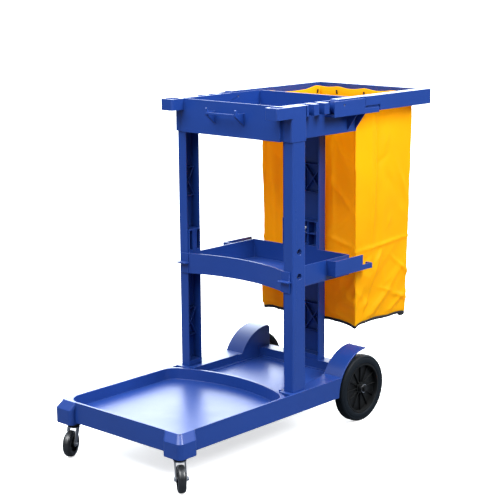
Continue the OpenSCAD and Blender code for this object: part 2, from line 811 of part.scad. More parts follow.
module bag_frame() color(blue) difference() {
    union() {
        both_sides() frame_arm();
        block(-side_x + 1, side_x - 1, y_frame_rear - bar_t, y_frame_rear, arm_z, arm_top);
    }
    rod(pin_r + run_gap, [-side_x, pin_y, pin_z], 2*side_x);
    // hollow underside of the rear bar
    block(-arm_x0, arm_x0, y_frame_rear - bar_t + 4, y_frame_rear - 4, arm_z - 1, arm_top - 5);
    for (p = frame_pegs) frame_peg_hole(p);
}

// Places and directions of the pegs on the frame's inner faces: [x, y, turn]
peg_z = arm_z + 14;
frame_pegs = [
    for (s = [-1, 1], d = [40, frame_reach - bar_t - 30]) [s*arm_x0, y_tray_rear + d, s > 0 ? 180 : 0],
    for (x = [-0.6, 0, 0.6]) [x*bag_x, y_frame_rear - bar_t, -90]];
peg_in = 3;

module peg(p, r, len, back) translate([p[0], p[1], peg_z]) rotate([0, 0, p[2]])
    translate([-back, 0, 0]) rotate([0, 90, 0]) cylinder(r = r, h = len + back);

module frame_peg_hole(p) peg(p, peg_r/2 + run_gap, 1, peg_in);

module bag_frame_pegs() color(black) for (p = frame_pegs) {
    peg(p, peg_r/2, 1, peg_in);
    peg(p, peg_r, peg_l, 0);
}

module tray_pegs() color(black) for (x = [-0.6, 0.6])
    rod(peg_r, [x*bag_x, y_tray_rear, peg_z], bag_gap - 1, "y");

module bag_frame_pins() color(steel) for (s = [0, 1]) mirror([s, 0, 0]) {
    rod(pin_r, [inner_x - tray_t + pin_sunk, pin_y, pin_z], side_x - inner_x + tray_t - 2*pin_sunk);
}

// Side view of the bag, (y, z), drawn in by d
module bag_side(d) polygon([
    [y_bag + d, bag_top - bag_h + d], [y_bag + d, bag_top + 2*d],
    [y_bag_rear - d, bag_top + 2*d], [y_bag_rear - bag_taper - d, bag_top - bag_h + d]]);

module waste_bag() color(yellow) difference() {
    along_x(-bag_x, 2*bag_x) bag_side(0);
    along_x(-bag_x + cloth_t, 2*(bag_x - cloth_t)) bag_side(cloth_t);
}

// ---- rear axle and wheels ----

module rear_axle() color(steel) rod(axle_r, [-axle_end, y_axle, z_axle], 2*axle_end);

module ring(r_out, r_in, p0, len, axis = "x") difference() {
    rod(r_out, p0, len, axis);
    rod(r_in, p0 - (axis == "x" ? [1, 0, 0] : [0, 0, 1]), len + 2, axis);
}

module rear_tyre() {
    edge = 5;
    translate([wheel_x0, y_axle, z_axle]) rotate([0, 90, 0]) rotate_extrude($fn = 120)
        polygon([[wheel_rim_r, 0], [wheel_r - 2*edge, 0], [wheel_r - edge/2, edge/2],
            [wheel_r, 2*edge], [wheel_r, wheel_w - 2*edge], [wheel_r - edge/2, wheel_w - edge/2],
            [wheel_r - 2*edge, wheel_w], [wheel_rim_r, wheel_w]]);
}

module rear_wheel() {
    rim = 5;
    spoke_t = 3;
    p = [wheel_x0, y_axle, z_axle];
    ring(wheel_rim_r, wheel_rim_r - rim, p, wheel_w);
    ring(hub_r, axle_r + run_gap, p - [hub_over, 0, 0], wheel_w + 2*hub_over);
    ring(wheel_rim_r - rim + eps, axle_r + 8, p + [wheel_w/2 - 2, 0, 0], 4);
    translate(p + [5, 0, 0]) rotate([0, 90, 0]) linear_extrude(wheel_w - 10)
        difference() {
            for (i = [0:spokes - 1]) rotate(i*360/spokes)
                translate([hub_r - 1, -spoke_t/2]) square([wheel_rim_r - rim - hub_r + 1.5, spoke_t]);
            circle(hub_r - 0.5);
        }
}

module rear_tyre_right() color(black) rear_tyre();
module rear_tyre_left() color(black) mirror([1, 0, 0]) rear_tyre();
module rear_wheel_right() color(black) rear_wheel();
module rear_wheel_left() color(black) mirror([1, 0, 0]) rear_wheel();

spacer_x0 = house_x;
spacer_x1 = wheel_x0 - hub_over - washer_t;
module axle_spacers() color(black) for (s = [0, 1]) mirror([s, 0, 0])
    ring(axle_r + 4, axle_r + 0.2, [spacer_x0, y_axle, z_axle], spacer_x1 - spacer_x0);

module axle_washers() color(steel) for (s = [0, 1]) mirror([s, 0, 0]) {
    ring(washer_r, axle_r + 0.2, [spacer_x1, y_axle, z_axle], washer_t - run_gap);
    ring(washer_r, axle_r + 0.2, [wheel_x1 + hub_over + run_gap, y_axle, z_axle], washer_t - run_gap);
}

module axle_caps() color(black) for (s = [0, 1]) mirror([s, 0, 0])
    translate([wheel_x1 + hub_over + washer_t, y_axle, z_axle]) rotate([0, 90, 0]) difference() {
        union() {
            cylinder(r = cap_r, h = 3);
            cylinder(r = cap_r - 3, h = cap_l);
        }
        translate([0, 0, -1]) cylinder(r = axle_r + run_gap, h = cap_l - 2 + 1);
    }

// ---- casters, drawn rolling straight ahead with the swivel axis at the origin ----

module at_caster(side, turn)
    translate([side*caster_x, y_caster, 0]) rotate(turn) children();

module caster_stem() {
    translate([0, 0, crown_z]) cylinder(r = stem_r, h = boss_z + stem_up - 1 - crown_z);
    translate([0, 0, crown_z - stem_head_h - run_gap]) cylinder(r = stem_head_r, h = stem_head_h);
    translate([0, 0, crown_z - run_gap - eps]) cylinder(r = stem_r, h = run_gap + 2*eps);
}

module caster_housing() translate([0, 0, boss_z - housing_h]) difference() {
    union() {
        cylinder(r = housing_r, h = housing_h - 3);
        cylinder(r = housing_r - 2, h = housing_h);
    }
    translate([0, 0, -1]) cylinder(r = stem_r + 0.1, h = housing_h + 2);
}

module caster_race() translate([0, 0, crown_z + crown_t]) difference() {
    cylinder(r = race_r, h = race_h - run_gap);
    translate([0, 0, -1]) cylinder(r = stem_r + 0.3, h = race_h + 2);
}

module caster_fork() {
    difference() {
        union() {
            translate([0, 0, crown_z]) cylinder(r = race_r + 1, h = crown_t);
            block(-leg_in - leg_t, leg_in + leg_t, -14, 8, crown_z, crown_z + crown_t);
            for (s = [-1, 1])
                translate([s > 0 ? leg_in : -leg_in - leg_t, 0, 0]) rotate([90, 0, 90])
                    linear_extrude(leg_t) hull() {
                        translate([-14, crown_z + crown_t - 4]) square([22, 4]);
                        translate([-caster_trail, caster_r]) circle(8);
                    }
        }
        translate([0, 0, crown_z - 1]) cylinder(r = stem_r + run_gap, h = crown_t + 2);
        rod(bolt_r + run_gap, [-leg_in - leg_t - 1, -caster_trail, caster_r], 2*(leg_in + leg_t) + 2);
    }
}

caster_hub_r = 26;
module caster_wheel() translate([0, -caster_trail, caster_r]) rotate([0, 90, 0])
    rotate_extrude($fn = 72) difference() {
        union() {
            translate([bolt_r + run_gap, -leg_in + 0.2]) square([6, 2*leg_in - 0.4]);
            translate([bolt_r + run_gap, -caster_w/6]) square([caster_hub_r - bolt_r - run_gap, caster_w/3]);
            translate([caster_hub_r - 4, -caster_w/2 + 1]) square([4, caster_w - 2]);
        }
    }

module caster_tyre() translate([0, -caster_trail, caster_r]) rotate([0, 90, 0])
    rotate_extrude($fn = 96) polygon([[caster_hub_r, -caster_w/2], [caster_r - 4, -caster_w/2],
        [caster_r - 1, -caster_w/2 + 2], [caster_r, -caster_w/2 + 6], [caster_r, caster_w/2 - 6],
        [caster_r - 1, caster_w/2 - 2], [caster_r - 4, caster_w/2], [caster_hub_r, caster_w/2]]);

module caster_bolt() {
    x0 = -leg_in - leg_t;
    rod(bolt_r, [x0 - eps, -caster_trail, caster_r], 2*(leg_in + leg_t) + 6);
    translate([x0 - bolt_head_h, -caster_trail, caster_r]) rotate([0, 90, 0])
        cylinder(r = bolt_head_r, h = bolt_head_h, $fn = 6);
}

module caster_nut() translate([leg_in + leg_t, -caster_trail, caster_r]) rotate([0, 90, 0])
    difference() {
        cylinder(r = bolt_head_r, h = 4.5, $fn = 6);
        translate([0, 0, -1]) cylinder(r = bolt_r + run_gap, h = 7);
    }

module caster_stem_left() color(steel) at_caster(-1, caster_turn_left) caster_stem();
module caster_stem_right() color(steel) at_caster(1, caster_turn_right) caster_stem();
module caster_housing_left() color(black) at_caster(-1, caster_turn_left) caster_housing();
module caster_housing_right() color(black) at_caster(1, caster_turn_right) caster_housing();
module caster_race_left() color(black) at_caster(-1, caster_turn_left) caster_race();
module caster_race_right() color(black) at_caster(1, caster_turn_right) caster_race();
module caster_fork_left() color(steel) at_caster(-1, caster_turn_left) caster_fork();
module caster_fork_right() color(steel) at_caster(1, caster_turn_right) caster_fork();
module caster_wheel_left() color(black) at_caster(-1, caster_turn_left) caster_wheel();
module caster_wheel_right() color(black) at_caster(1, caster_turn_right) caster_wheel();
module caster_tyre_left() color(black) at_caster(-1, caster_turn_left) caster_tyre();
module caster_tyre_right() color(black) at_caster(1, caster_turn_right) caster_tyre();
module caster_bolt_left() color(steel) at_caster(-1, caster_turn_left) caster_bolt();
module caster_bolt_right() color(steel) at_caster(1, caster_turn_right) caster_bolt();
module caster_nut_left() color(steel) at_caster(-1, caster_turn_left) caster_nut();
module caster_nut_right() color(steel) at_caster(1, caster_turn_right) caster_nut();

base_platform();
front_upright_left();
front_upright_right();
rear_upright();
middle_shelf();
top_tray();
bag_frame();
bag_frame_pins();
bag_frame_pegs();
tray_pegs();
waste_bag();
rear_axle();
rear_wheel_left();
rear_wheel_right();
rear_tyre_left();
rear_tyre_right();
axle_spacers();
axle_washers();
axle_caps();
caster_stem_left();
caster_stem_right();
caster_housing_left();
caster_housing_right();
caster_race_left();
caster_race_right();
caster_fork_left();
caster_fork_right();
caster_wheel_left();
caster_wheel_right();
caster_tyre_left();
caster_tyre_right();
caster_bolt_left();
caster_bolt_right();
caster_nut_left();
caster_nut_right();
base_screws();
shelf_screws();
tray_screws();
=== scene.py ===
import json
import math
import random

import bmesh
import bpy
from mathutils import Matrix, Quaternion, Vector, noise


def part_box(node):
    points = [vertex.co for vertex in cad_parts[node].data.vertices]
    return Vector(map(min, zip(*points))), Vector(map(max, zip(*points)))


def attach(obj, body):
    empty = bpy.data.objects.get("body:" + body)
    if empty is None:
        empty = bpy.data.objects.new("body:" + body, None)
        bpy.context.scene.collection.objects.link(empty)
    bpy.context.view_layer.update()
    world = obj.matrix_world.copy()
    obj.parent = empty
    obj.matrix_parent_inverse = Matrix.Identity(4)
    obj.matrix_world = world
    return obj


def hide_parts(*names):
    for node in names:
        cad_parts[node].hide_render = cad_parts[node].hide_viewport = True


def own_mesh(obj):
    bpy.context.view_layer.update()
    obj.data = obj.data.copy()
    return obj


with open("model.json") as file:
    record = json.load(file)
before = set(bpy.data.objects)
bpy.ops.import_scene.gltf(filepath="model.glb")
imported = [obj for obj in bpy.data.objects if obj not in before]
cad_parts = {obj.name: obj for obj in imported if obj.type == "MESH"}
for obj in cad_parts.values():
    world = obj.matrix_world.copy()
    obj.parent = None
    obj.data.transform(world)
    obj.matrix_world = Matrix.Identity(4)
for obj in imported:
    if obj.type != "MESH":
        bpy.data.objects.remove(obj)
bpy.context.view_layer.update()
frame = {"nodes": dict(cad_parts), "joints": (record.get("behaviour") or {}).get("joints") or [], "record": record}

print("frame loaded:", len(frame["nodes"]), "nodes")
scene = bpy.context.scene
scene.view_settings.view_transform = "Standard"
mm = 0.001


# Small helpers that every piece uses

def linkObject(name, mesh):
    obj = bpy.data.objects.new(name, mesh)
    scene.collection.objects.link(obj)
    return obj


def meshFrom(name, verts, faces):
    mesh = bpy.data.meshes.new(name)
    mesh.from_pydata([tuple(v) for v in verts], [], faces)
    mesh.update()
    return mesh


def baked(obj):
    # turns the modifiers into plain mesh
    bpy.context.view_layer.update()
    evaluated = obj.evaluated_get(bpy.context.evaluated_depsgraph_get())
    mesh = bpy.data.meshes.new_from_object(evaluated)
    obj.modifiers.clear()
    obj.data = mesh
    return obj


def smoothShade(obj, degrees=32):
    obj.data.shade_smooth()
    obj.data.set_sharp_from_angle(angle=math.radians(degrees))


def setMaterial(obj, material):
    obj.data.materials.clear()
    obj.data.materials.append(material)


def setInputs(node, values):
    for label, value in values.items():
        node.inputs[label].default_value = value
    return node


def rangeNode(tree, low, high, start=0.0, end=1.0):
    # spreads values between start and end over low to high
    return setInputs(tree.nodes.new("ShaderNodeMapRange"),
        {"From Min": start, "From Max": end, "To Min": low, "To Max": high})


def newMaterial(name):
    material = bpy.data.materials.new(name)
    material.use_nodes = True
    tree = material.node_tree
    return material, tree, tree.nodes["Principled BSDF"]


def mixShaders(tree, first, second, share=None, fixed=0.5):
    # a finish of two shaders, mixed by a fixed share or by an output
    mix = tree.nodes.new("ShaderNodeMixShader")
    mix.inputs["Fac"].default_value = fixed
    if share is not None:
        tree.links.new(share, mix.inputs["Fac"])
    out = next(node for node in tree.nodes if node.type == "OUTPUT_MATERIAL")
    tree.links.new(first.outputs[0], mix.inputs[1])
    tree.links.new(second.outputs[0], mix.inputs[2])
    tree.links.new(mix.outputs[0], out.inputs["Surface"])


def place(obj, body, slot, material, *nodes):
    setMaterial(obj, material)
    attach(obj, body)
    if nodes:
        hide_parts(*nodes)
    return obj


# Camera first, because everything else is judged through it

cameraLook = {
    "place": (2.7466, -3.0015, 1.3768),
    "aim": (-0.654, 0.7284, -0.2041),
    "roll": -0.3,
    "lens": 102.3,
    "shift": (-0.028, 0.005),
}


def addCamera(look):
    data = bpy.data.cameras.new("camera")
    data.lens = look["lens"]
    data.sensor_width = 36
    data.shift_x, data.shift_y = look["shift"]
    data.clip_end = 60
    cam = bpy.data.objects.new("camera", data)
    scene.collection.objects.link(cam)
    turn = Vector(look["aim"]).to_track_quat("-Z", "Y")
    cam.rotation_mode = "QUATERNION"
    cam.rotation_quaternion = turn @ Quaternion((0, 0, 1), math.radians(look["roll"]))
    cam.location = look["place"]
    scene.camera = cam


addCamera(cameraLook)


# Studio: bright sweep behind, dim room in front, softboxes in front, to the right and low

studio = {
    "floorTone": (0.93, 0.93, 0.93),
    "floorGlow": 0.62,
    "floorUnseen": (0.10, 0.11, 0.13),
    "floorReach": 60,
    "roomDim": 0.05,
    "roomBright": 7.0,
    "roomTint": (0.86, 0.94, 1.0),
    "backTurn": (-0.60, 0.75, 0.28),
    "backEdge": 0.55,
    "roomTop": 1.5,
    "topRise": (0.30, 0.75),
    "softboxes": [
        ("topBox", (0.0, -2.2, 3.0), (0, 0, 0.5), (2.6, 1.8), 120),
        ("keyBox", (2.9, 0.5, 3.0), (0, 0.1, 0.5), (1.6, 2.0), 190),
        ("fillBox", (0.3, -3.8, 1.6), (0, 0, 0.4), (2.4, 1.8), 14),
    ],
}


def addSoftbox(name, spot, target, size, power):
    data = bpy.data.lights.new(name, "AREA")
    data.shape = "RECTANGLE"
    data.size, data.size_y = size
    data.energy = power
    light = bpy.data.objects.new(name, data)
    light.location = spot
    light.rotation_mode = "QUATERNION"
    light.rotation_quaternion = (Vector(target) - Vector(spot)).to_track_quat("-Z", "Y")
    scene.collection.objects.link(light)


def addRoom(look):
    # glossy faces see a bright patch behind and a soft ceiling; the camera sees white
    world = bpy.data.worlds.new("room")
    world.use_nodes = True
    scene.world = world
    tree = world.node_tree
    nodes, links = tree.nodes, tree.links
    nodes.clear()
    way = nodes.new("ShaderNodeTexCoord")
    dot = nodes.new("ShaderNodeVectorMath")
    dot.operation = "DOT_PRODUCT"
    dot.inputs[1].default_value = Vector(look["backTurn"]).normalized()
    patch = rangeNode(tree, look["roomDim"], look["roomBright"], look["backEdge"])
    split = nodes.new("ShaderNodeSeparateXYZ")
    above = rangeNode(tree, 0.0, look["roomTop"], *look["topRise"])
    total = nodes.new("ShaderNodeMath")
    lit = setInputs(nodes.new("ShaderNodeBackground"), {"Color": (*look["roomTint"], 1)})
    seen = setInputs(nodes.new("ShaderNodeBackground"), {"Color": (1, 1, 1, 1)})
    path = nodes.new("ShaderNodeLightPath")
    mix = nodes.new("ShaderNodeMixShader")
    out = nodes.new("ShaderNodeOutputWorld")
    links.new(way.outputs["Generated"], dot.inputs[0])
    links.new(dot.outputs["Value"], patch.inputs["Value"])
    links.new(way.outputs["Generated"], split.inputs[0])
    links.new(split.outputs["Z"], above.inputs["Value"])
    links.new(patch.outputs["Result"], total.inputs[0])
    links.new(above.outputs["Result"], total.inputs[1])
    links.new(total.outputs[0], lit.inputs["Strength"])
    links.new(path.outputs["Is Camera Ray"], mix.inputs["Fac"])
    links.new(lit.outputs[0], mix.inputs[1])
    links.new(seen.outputs[0], mix.inputs[2])
    links.new(mix.outputs[0], out.inputs["Surface"])


def addStudio(look):
    reach = look["floorReach"]
    corners = [(-reach, -reach, 0), (reach, -reach, 0), (reach, reach, 0), (-reach, reach, 0)]
    floor = linkObject("studioFloor", meshFrom("studioFloor", corners, [(0, 1, 2, 3)]))
    material, tree, seen = newMaterial("paleFloor")
    setInputs(seen, {"Base Color": (*look["floorTone"], 1), "Roughness": 0.9,
        "Specular IOR Level": 0.0, "Emission Color": (1, 1, 1, 1),
        "Emission Strength": look["floorGlow"]})
    dull = setInputs(tree.nodes.new("ShaderNodeBsdfDiffuse"), {"Color": (*look["floorUnseen"], 1)})
    path = tree.nodes.new("ShaderNodeLightPath")
    mixShaders(tree, dull, seen, path.outputs["Is Camera Ray"])
    setMaterial(floor, material)
    addRoom(look)
    for box in look["softboxes"]:
        addSoftbox(*box)


addStudio(studio)
print("camera and studio ready")


# Shader groups that several finishes share

def newGroup(name, inputs, outputs):
    group = bpy.data.node_groups.new(name, "ShaderNodeTree")
    for label, kind, value in inputs:
        socket = group.interface.new_socket(label, in_out="INPUT", socket_type=kind)
        socket.default_value = value
    for label, kind in outputs:
        group.interface.new_socket(label, in_out="OUTPUT", socket_type=kind)
    return group, group.nodes.new("NodeGroupInput"), group.nodes.new("NodeGroupOutput")


def noiseNode(tree, scale, detail=2, rough=0.5):
    return setInputs(tree.nodes.new("ShaderNodeTexNoise"),
        {"Scale": scale, "Detail": detail, "Roughness": rough})


def mixColour(tree, blend="MIX", factor=0.5):
    node = tree.nodes.new("ShaderNodeMix")
    node.data_type = "RGBA"
    node.blend_type = blend
    node.inputs["Factor"].default_value = factor
    return node


def productNode(tree):
    node = tree.nodes.new("ShaderNodeMath")
    node.operation = "MULTIPLY"
    return node


def bumpNode(tree, strength, distance):
    return setInputs(tree.nodes.new("ShaderNodeBump"), {"Strength": strength, "Distance": distance})


def groupNode(tree, group, values):
    node = tree.nodes.new("ShaderNodeGroup")
    node.node_tree = group
    return setInputs(node, values)


def makeGrainGroup():
    # fine moulded texture: a height for bump and a little unevenness for roughness
    group, given, out = newGroup("mouldGrain",
        [("Fine Scale", "NodeSocketFloat", 900.0), ("Broad Scale", "NodeSocketFloat", 7.0)],
        [("Height", "NodeSocketFloat"), ("Unevenness", "NodeSocketFloat")])
    coords = group.nodes.new("ShaderNodeTexCoord")
    fine, broad = noiseNode(group, 900, 3), noiseNode(group, 7, 4, 0.6)
    links = group.links
    for node, label in ((fine, "Fine Scale"), (broad, "Broad Scale")):
        links.new(coords.outputs["Object"], node.inputs["Vector"])
        links.new(given.outputs[label], node.inputs["Scale"])
    links.new(fine.outputs["Fac"], out.inputs["Height"])
    links.new(broad.outputs["Fac"], out.inputs["Unevenness"])
    return group


def makeToneGroup():
    # a colour that drifts a little over the surface, with pale dust where a face looks up
    group, given, out = newGroup("worn",
        [("Colour", "NodeSocketColor", (0.5, 0.5, 0.5, 1)), ("Drift", "NodeSocketFloat", 0.1),
         ("Dust", "NodeSocketFloat", 0.1), ("Dust Colour", "NodeSocketColor", (0.6, 0.6, 0.6, 1))],
        [("Colour", "NodeSocketColor")])
    links = group.links
    coords = group.nodes.new("ShaderNodeTexCoord")
    broad, speck = noiseNode(group, 5, 3, 0.6), noiseNode(group, 45, 5, 0.7)
    dark = mixColour(group, "MULTIPLY")
    shade = rangeNode(group, 0.75, 1.1, 0.3, 0.7)
    form = group.nodes.new("ShaderNodeNewGeometry")
    split = group.nodes.new("ShaderNodeSeparateXYZ")
    up = rangeNode(group, 0.0, 1.0, 0.6)
    patch, amount = productNode(group), productNode(group)
    dusty = mixColour(group)
    for node in (broad, speck):
        links.new(coords.outputs["Object"], node.inputs["Vector"])
    links.new(broad.outputs["Fac"], shade.inputs["Value"])
    links.new(given.outputs["Drift"], dark.inputs["Factor"])
    links.new(given.outputs["Colour"], dark.inputs["A"])
    links.new(shade.outputs["Result"], dark.inputs["B"])
    links.new(form.outputs["Normal"], split.inputs[0])
    links.new(split.outputs["Z"], up.inputs["Value"])
    links.new(up.outputs["Result"], patch.inputs[0])
    links.new(speck.outputs["Fac"], patch.inputs[1])
    links.new(patch.outputs[0], amount.inputs[0])
    links.new(given.outputs["Dust"], amount.inputs[1])
    links.new(amount.outputs[0], dusty.inputs["Factor"])
    links.new(dark.outputs["Result"], dusty.inputs["A"])
    links.new(given.outputs["Dust Colour"], dusty.inputs["B"])
    links.new(dusty.outputs["Result"], out.inputs["Colour"])
    return group


grainGroup = makeGrainGroup()
toneGroup = makeToneGroup()


def makePlastic(name, tone, rough, bump=0.05, drift=0.3, dust=0.08, coat=0.0, fine=900, metal=0.0,
        shine=0.5):
    material, tree, shader = newMaterial(name)
    links = tree.links
    setInputs(shader, {"Metallic": metal, "Specular IOR Level": shine, "Coat Weight": coat,
        "Coat Roughness": 0.25})
    grain = groupNode(tree, grainGroup, {"Fine Scale": fine})
    worn = groupNode(tree, toneGroup, {"Colour": (*tone, 1), "Drift": drift, "Dust": dust})
    spread = rangeNode(tree, rough - 0.07, rough + 0.09)
    height = bumpNode(tree, bump, 0.0006)
    links.new(worn.outputs["Colour"], shader.inputs["Base Color"])
    links.new(grain.outputs["Unevenness"], spread.inputs["Value"])
    links.new(spread.outputs["Result"], shader.inputs["Roughness"])
    links.new(grain.outputs["Height"], height.inputs["Height"])
    links.new(height.outputs["Normal"], shader.inputs["Normal"])
    return material


def makeCloth(name, tone, glow, share, weave=1400, rough=0.55):
    # coated cloth: a woven, puckered face that lets some light through
    material, tree, shader = newMaterial(name)
    links = tree.links
    setInputs(shader, {"Specular IOR Level": 0.18})
    through = setInputs(tree.nodes.new("ShaderNodeBsdfTranslucent"), {"Color": (*glow, 1)})
    mixShaders(tree, shader, through, fixed=share)
    coords = tree.nodes.new("ShaderNodeTexCoord")
    worn = groupNode(tree, toneGroup, {"Colour": (*tone, 1), "Drift": 0.25, "Dust": 0.0})
    cross = productNode(tree)
    for i, direction in enumerate("XY"):
        wave = tree.nodes.new("ShaderNodeTexWave")
        wave.bands_direction = direction
        setInputs(wave, {"Scale": weave / 6.3, "Distortion": 0.5})
        links.new(coords.outputs["UV"], wave.inputs["Vector"])
        links.new(wave.outputs["Fac"], cross.inputs[i])
    pucker = noiseNode(tree, 38, 4, 0.55)
    weaveBump = bumpNode(tree, 0.12, 0.0003)
    puckerBump = bumpNode(tree, 0.32, 0.004)
    spread = rangeNode(tree, rough - 0.1, rough + 0.1)
    links.new(coords.outputs["Object"], pucker.inputs["Vector"])
    links.new(pucker.outputs["Fac"], puckerBump.inputs["Height"])
    links.new(cross.outputs[0], weaveBump.inputs["Height"])
    links.new(puckerBump.outputs["Normal"], weaveBump.inputs["Normal"])
    links.new(weaveBump.outputs["Normal"], shader.inputs["Normal"])
    links.new(pucker.outputs["Fac"], spread.inputs["Value"])
    links.new(spread.outputs["Result"], shader.inputs["Roughness"])
    links.new(worn.outputs["Colour"], shader.inputs["Base Color"])
    return material


finishes = {
    "blue": makePlastic("bluePlastic", (0.0085, 0.041, 0.225), 0.34, drift=0.35, dust=0.015),
    "black": makePlastic("blackPlastic", (0.004, 0.0045, 0.005), 0.42, bump=0.06, dust=0.02, shine=0.3),
    # black rubber: the near-black is the rubber's own colour, and its faint blue tint is a painted reflection of
    # the blue plastic and the room
    "rubber": makePlastic("blackRubber", (0.0028, 0.0056, 0.0095), 0.60, bump=0.12, drift=0.4,
        dust=0.03, fine=500, shine=0.22),
    "zinc": makePlastic("zincSteel", (0.60, 0.62, 0.66), 0.32, bump=0.03, drift=0.4, dust=0.0,
        fine=600, metal=1.0),
    "yellow": makeCloth("yellowCloth", (0.98, 0.60, 0.004), (1.0, 0.66, 0.0), 0.54),
    "thread": makePlastic("yellowThread", (0.70, 0.28, 0.01), 0.7, bump=0.1),
    "gloss": makePlastic("casterRubber", (0.010, 0.011, 0.013), 0.30, bump=0.03, drift=0.4, dust=0.05,
        coat=0.3, fine=500),
    "binding": makePlastic("blackBinding", (0.008, 0.008, 0.009), 0.75, bump=0.3, drift=0.2,
        dust=0.05, fine=1600),
}
print("finishes ready:", len(finishes))


# Blue mouldings: the CAD shapes with their edges rounded as a mould leaves them

mouldings = {  # body and edge radius in mm
    "base_platform": ("cart", 1.1),
    "front_upright_left": ("cart", 1.0),
    "front_upright_right": ("cart", 1.0),
    "rear_upright": ("cart", 1.0),
    "middle_shelf": ("cart", 0.9),
    "top_tray": ("cart", 0.9),
    "bag_frame": ("bag_frame", 1.2),
}
edgeLook = {"merge": 1e-5, "flat": 0.6, "limit": 32}  # metres, degrees, degrees


def softened(node, width, segments=2, look=edgeLook):
    # a copy of a CAD node with flat faces made whole and its edges rounded
    mesh = frame["nodes"][node].data.copy()
    work = bmesh.new()
    work.from_mesh(mesh)
    bmesh.ops.remove_doubles(work, verts=work.verts, dist=look["merge"])
    bmesh.ops.dissolve_limit(work, angle_limit=math.radians(look["flat"]), verts=work.verts,
        edges=work.edges, delimit={"NORMAL"})
    bmesh.ops.connect_verts_concave(work, faces=work.faces)
    work.to_mesh(mesh)
    work.free()
    mesh.name = node + "_moulded"
    mesh.shade_smooth()
    piece = linkObject(node + "_moulded", mesh)
    edge = piece.modifiers.new("edge", "BEVEL")
    edge.width = width * mm
    edge.segments = segments
    edge.limit_method = "ANGLE"
    edge.angle_limit = math.radians(look["limit"])
    edge.use_clamp_overlap = False
    edge.miter_outer = "MITER_ARC"
    edge.face_strength_mode = "FSTR_ALL"
    even = piece.modifiers.new("even", "WEIGHTED_NORMAL")
    even.use_face_influence = True
    return baked(piece)


for node, (body, width) in mouldings.items():
    place(softened(node, width), body, "blue_plastic", finishes["blue"], node)
print("mouldings rounded")


# Every CAD node gets its finish, and the ones with the right shape stay as they are

finishOf = {"blue_plastic": "blue", "black_plastic": "black", "black_rubber": "rubber",
    "zinc_steel": "zinc", "yellow_cloth": "yellow"}
for row in frame["record"]["subparts"]:
    setMaterial(frame["nodes"][row["node"]], finishes[finishOf[row["material_slot"]]])


# Shapes made by turning, sweeping and Geometry Nodes

def recalculated(mesh):
    work = bmesh.new()
    work.from_mesh(mesh)
    bmesh.ops.remove_doubles(work, verts=work.verts, dist=1e-6)
    bmesh.ops.recalc_face_normals(work, faces=work.faces)
    work.to_mesh(mesh)
    work.free()
    return mesh


def lathe(name, profile, steps, centre, closed=True):
    # profile holds (radius, place along X) pairs
    verts, faces, n = [], [], len(profile)
    for i in range(steps):
        angle = 2 * math.pi * i / steps
        for radius, along in profile:
            verts.append((centre[0] + along, centre[1] + radius * math.cos(angle),
                centre[2] + radius * math.sin(angle)))
    for i in range(steps):
        for j in range(n if closed else n - 1):
            a, b = i * n + j, i * n + (j + 1) % n
            c, d = ((i + 1) % steps) * n + (j + 1) % n, ((i + 1) % steps) * n + j
            faces.append((a, b, c, d))
    return recalculated(meshFrom(name, verts, faces))


def tubeAlong(name, points, radius, sides=8, closed=True, flat=1.0):
    verts, faces, n = [], [], len(points)
    up = Vector((0, 0, 1))
    for i, point in enumerate(points):
        after = points[(i + 1) % n] if closed else points[min(i + 1, n - 1)]
        before = points[i - 1] if closed else points[max(i - 1, 0)]
        along = (after - before).normalized()
        side = along.cross(up)
        side = side.normalized() if side.length > 0.01 else Vector((1, 0, 0))
        top = side.cross(along).normalized()
        for k in range(sides):
            angle = 2 * math.pi * k / sides
            verts.append(point + side * (radius * flat * math.cos(angle))
                + top * (radius * math.sin(angle)))
    for i in range(n if closed else n - 1):
        for k in range(sides):
            a, b = i * sides + k, i * sides + (k + 1) % sides
            c, d = ((i + 1) % n) * sides + (k + 1) % sides, ((i + 1) % n) * sides + k
            faces.append((a, b, c, d))
    if not closed:
        faces.append(tuple(range(sides)))
        faces.append(tuple((n - 1) * sides + k for k in range(sides)))
    return recalculated(meshFrom(name, verts, faces))


def newTree(name, inputs):
    tree = bpy.data.node_groups.new(name, "GeometryNodeTree")
    tree.is_modifier = True
    tree.interface.new_socket("Geometry", in_out="INPUT", socket_type="NodeSocketGeometry")
    for label, kind, value in inputs:
        socket = tree.interface.new_socket(label, in_out="INPUT", socket_type=kind)
        if value is not None:
            socket.default_value = value
    tree.interface.new_socket("Geometry", in_out="OUTPUT", socket_type="NodeSocketGeometry")
    return tree, tree.nodes.new("NodeGroupInput"), tree.nodes.new("NodeGroupOutput")


def endTree(tree, given, out, put):
    # copies made real, with the finish on them
    real = tree.nodes.new("GeometryNodeRealizeInstances")
    finish = tree.nodes.new("GeometryNodeSetMaterial")
    tree.links.new(put.outputs["Instances"], real.inputs["Geometry"])
    tree.links.new(real.outputs["Geometry"], finish.inputs["Geometry"])
    tree.links.new(given.outputs["Finish"], finish.inputs["Material"])
    tree.links.new(finish.outputs["Geometry"], out.inputs["Geometry"])
    return tree


def runTree(obj, tree, **values):
    grown = obj.modifiers.new("grown", "NODES")
    grown.node_group = tree
    for item in tree.interface.items_tree:
        if item.item_type == "SOCKET" and item.in_out == "INPUT" and item.name in values:
            grown[item.identifier] = values[item.name]
    return baked(obj)


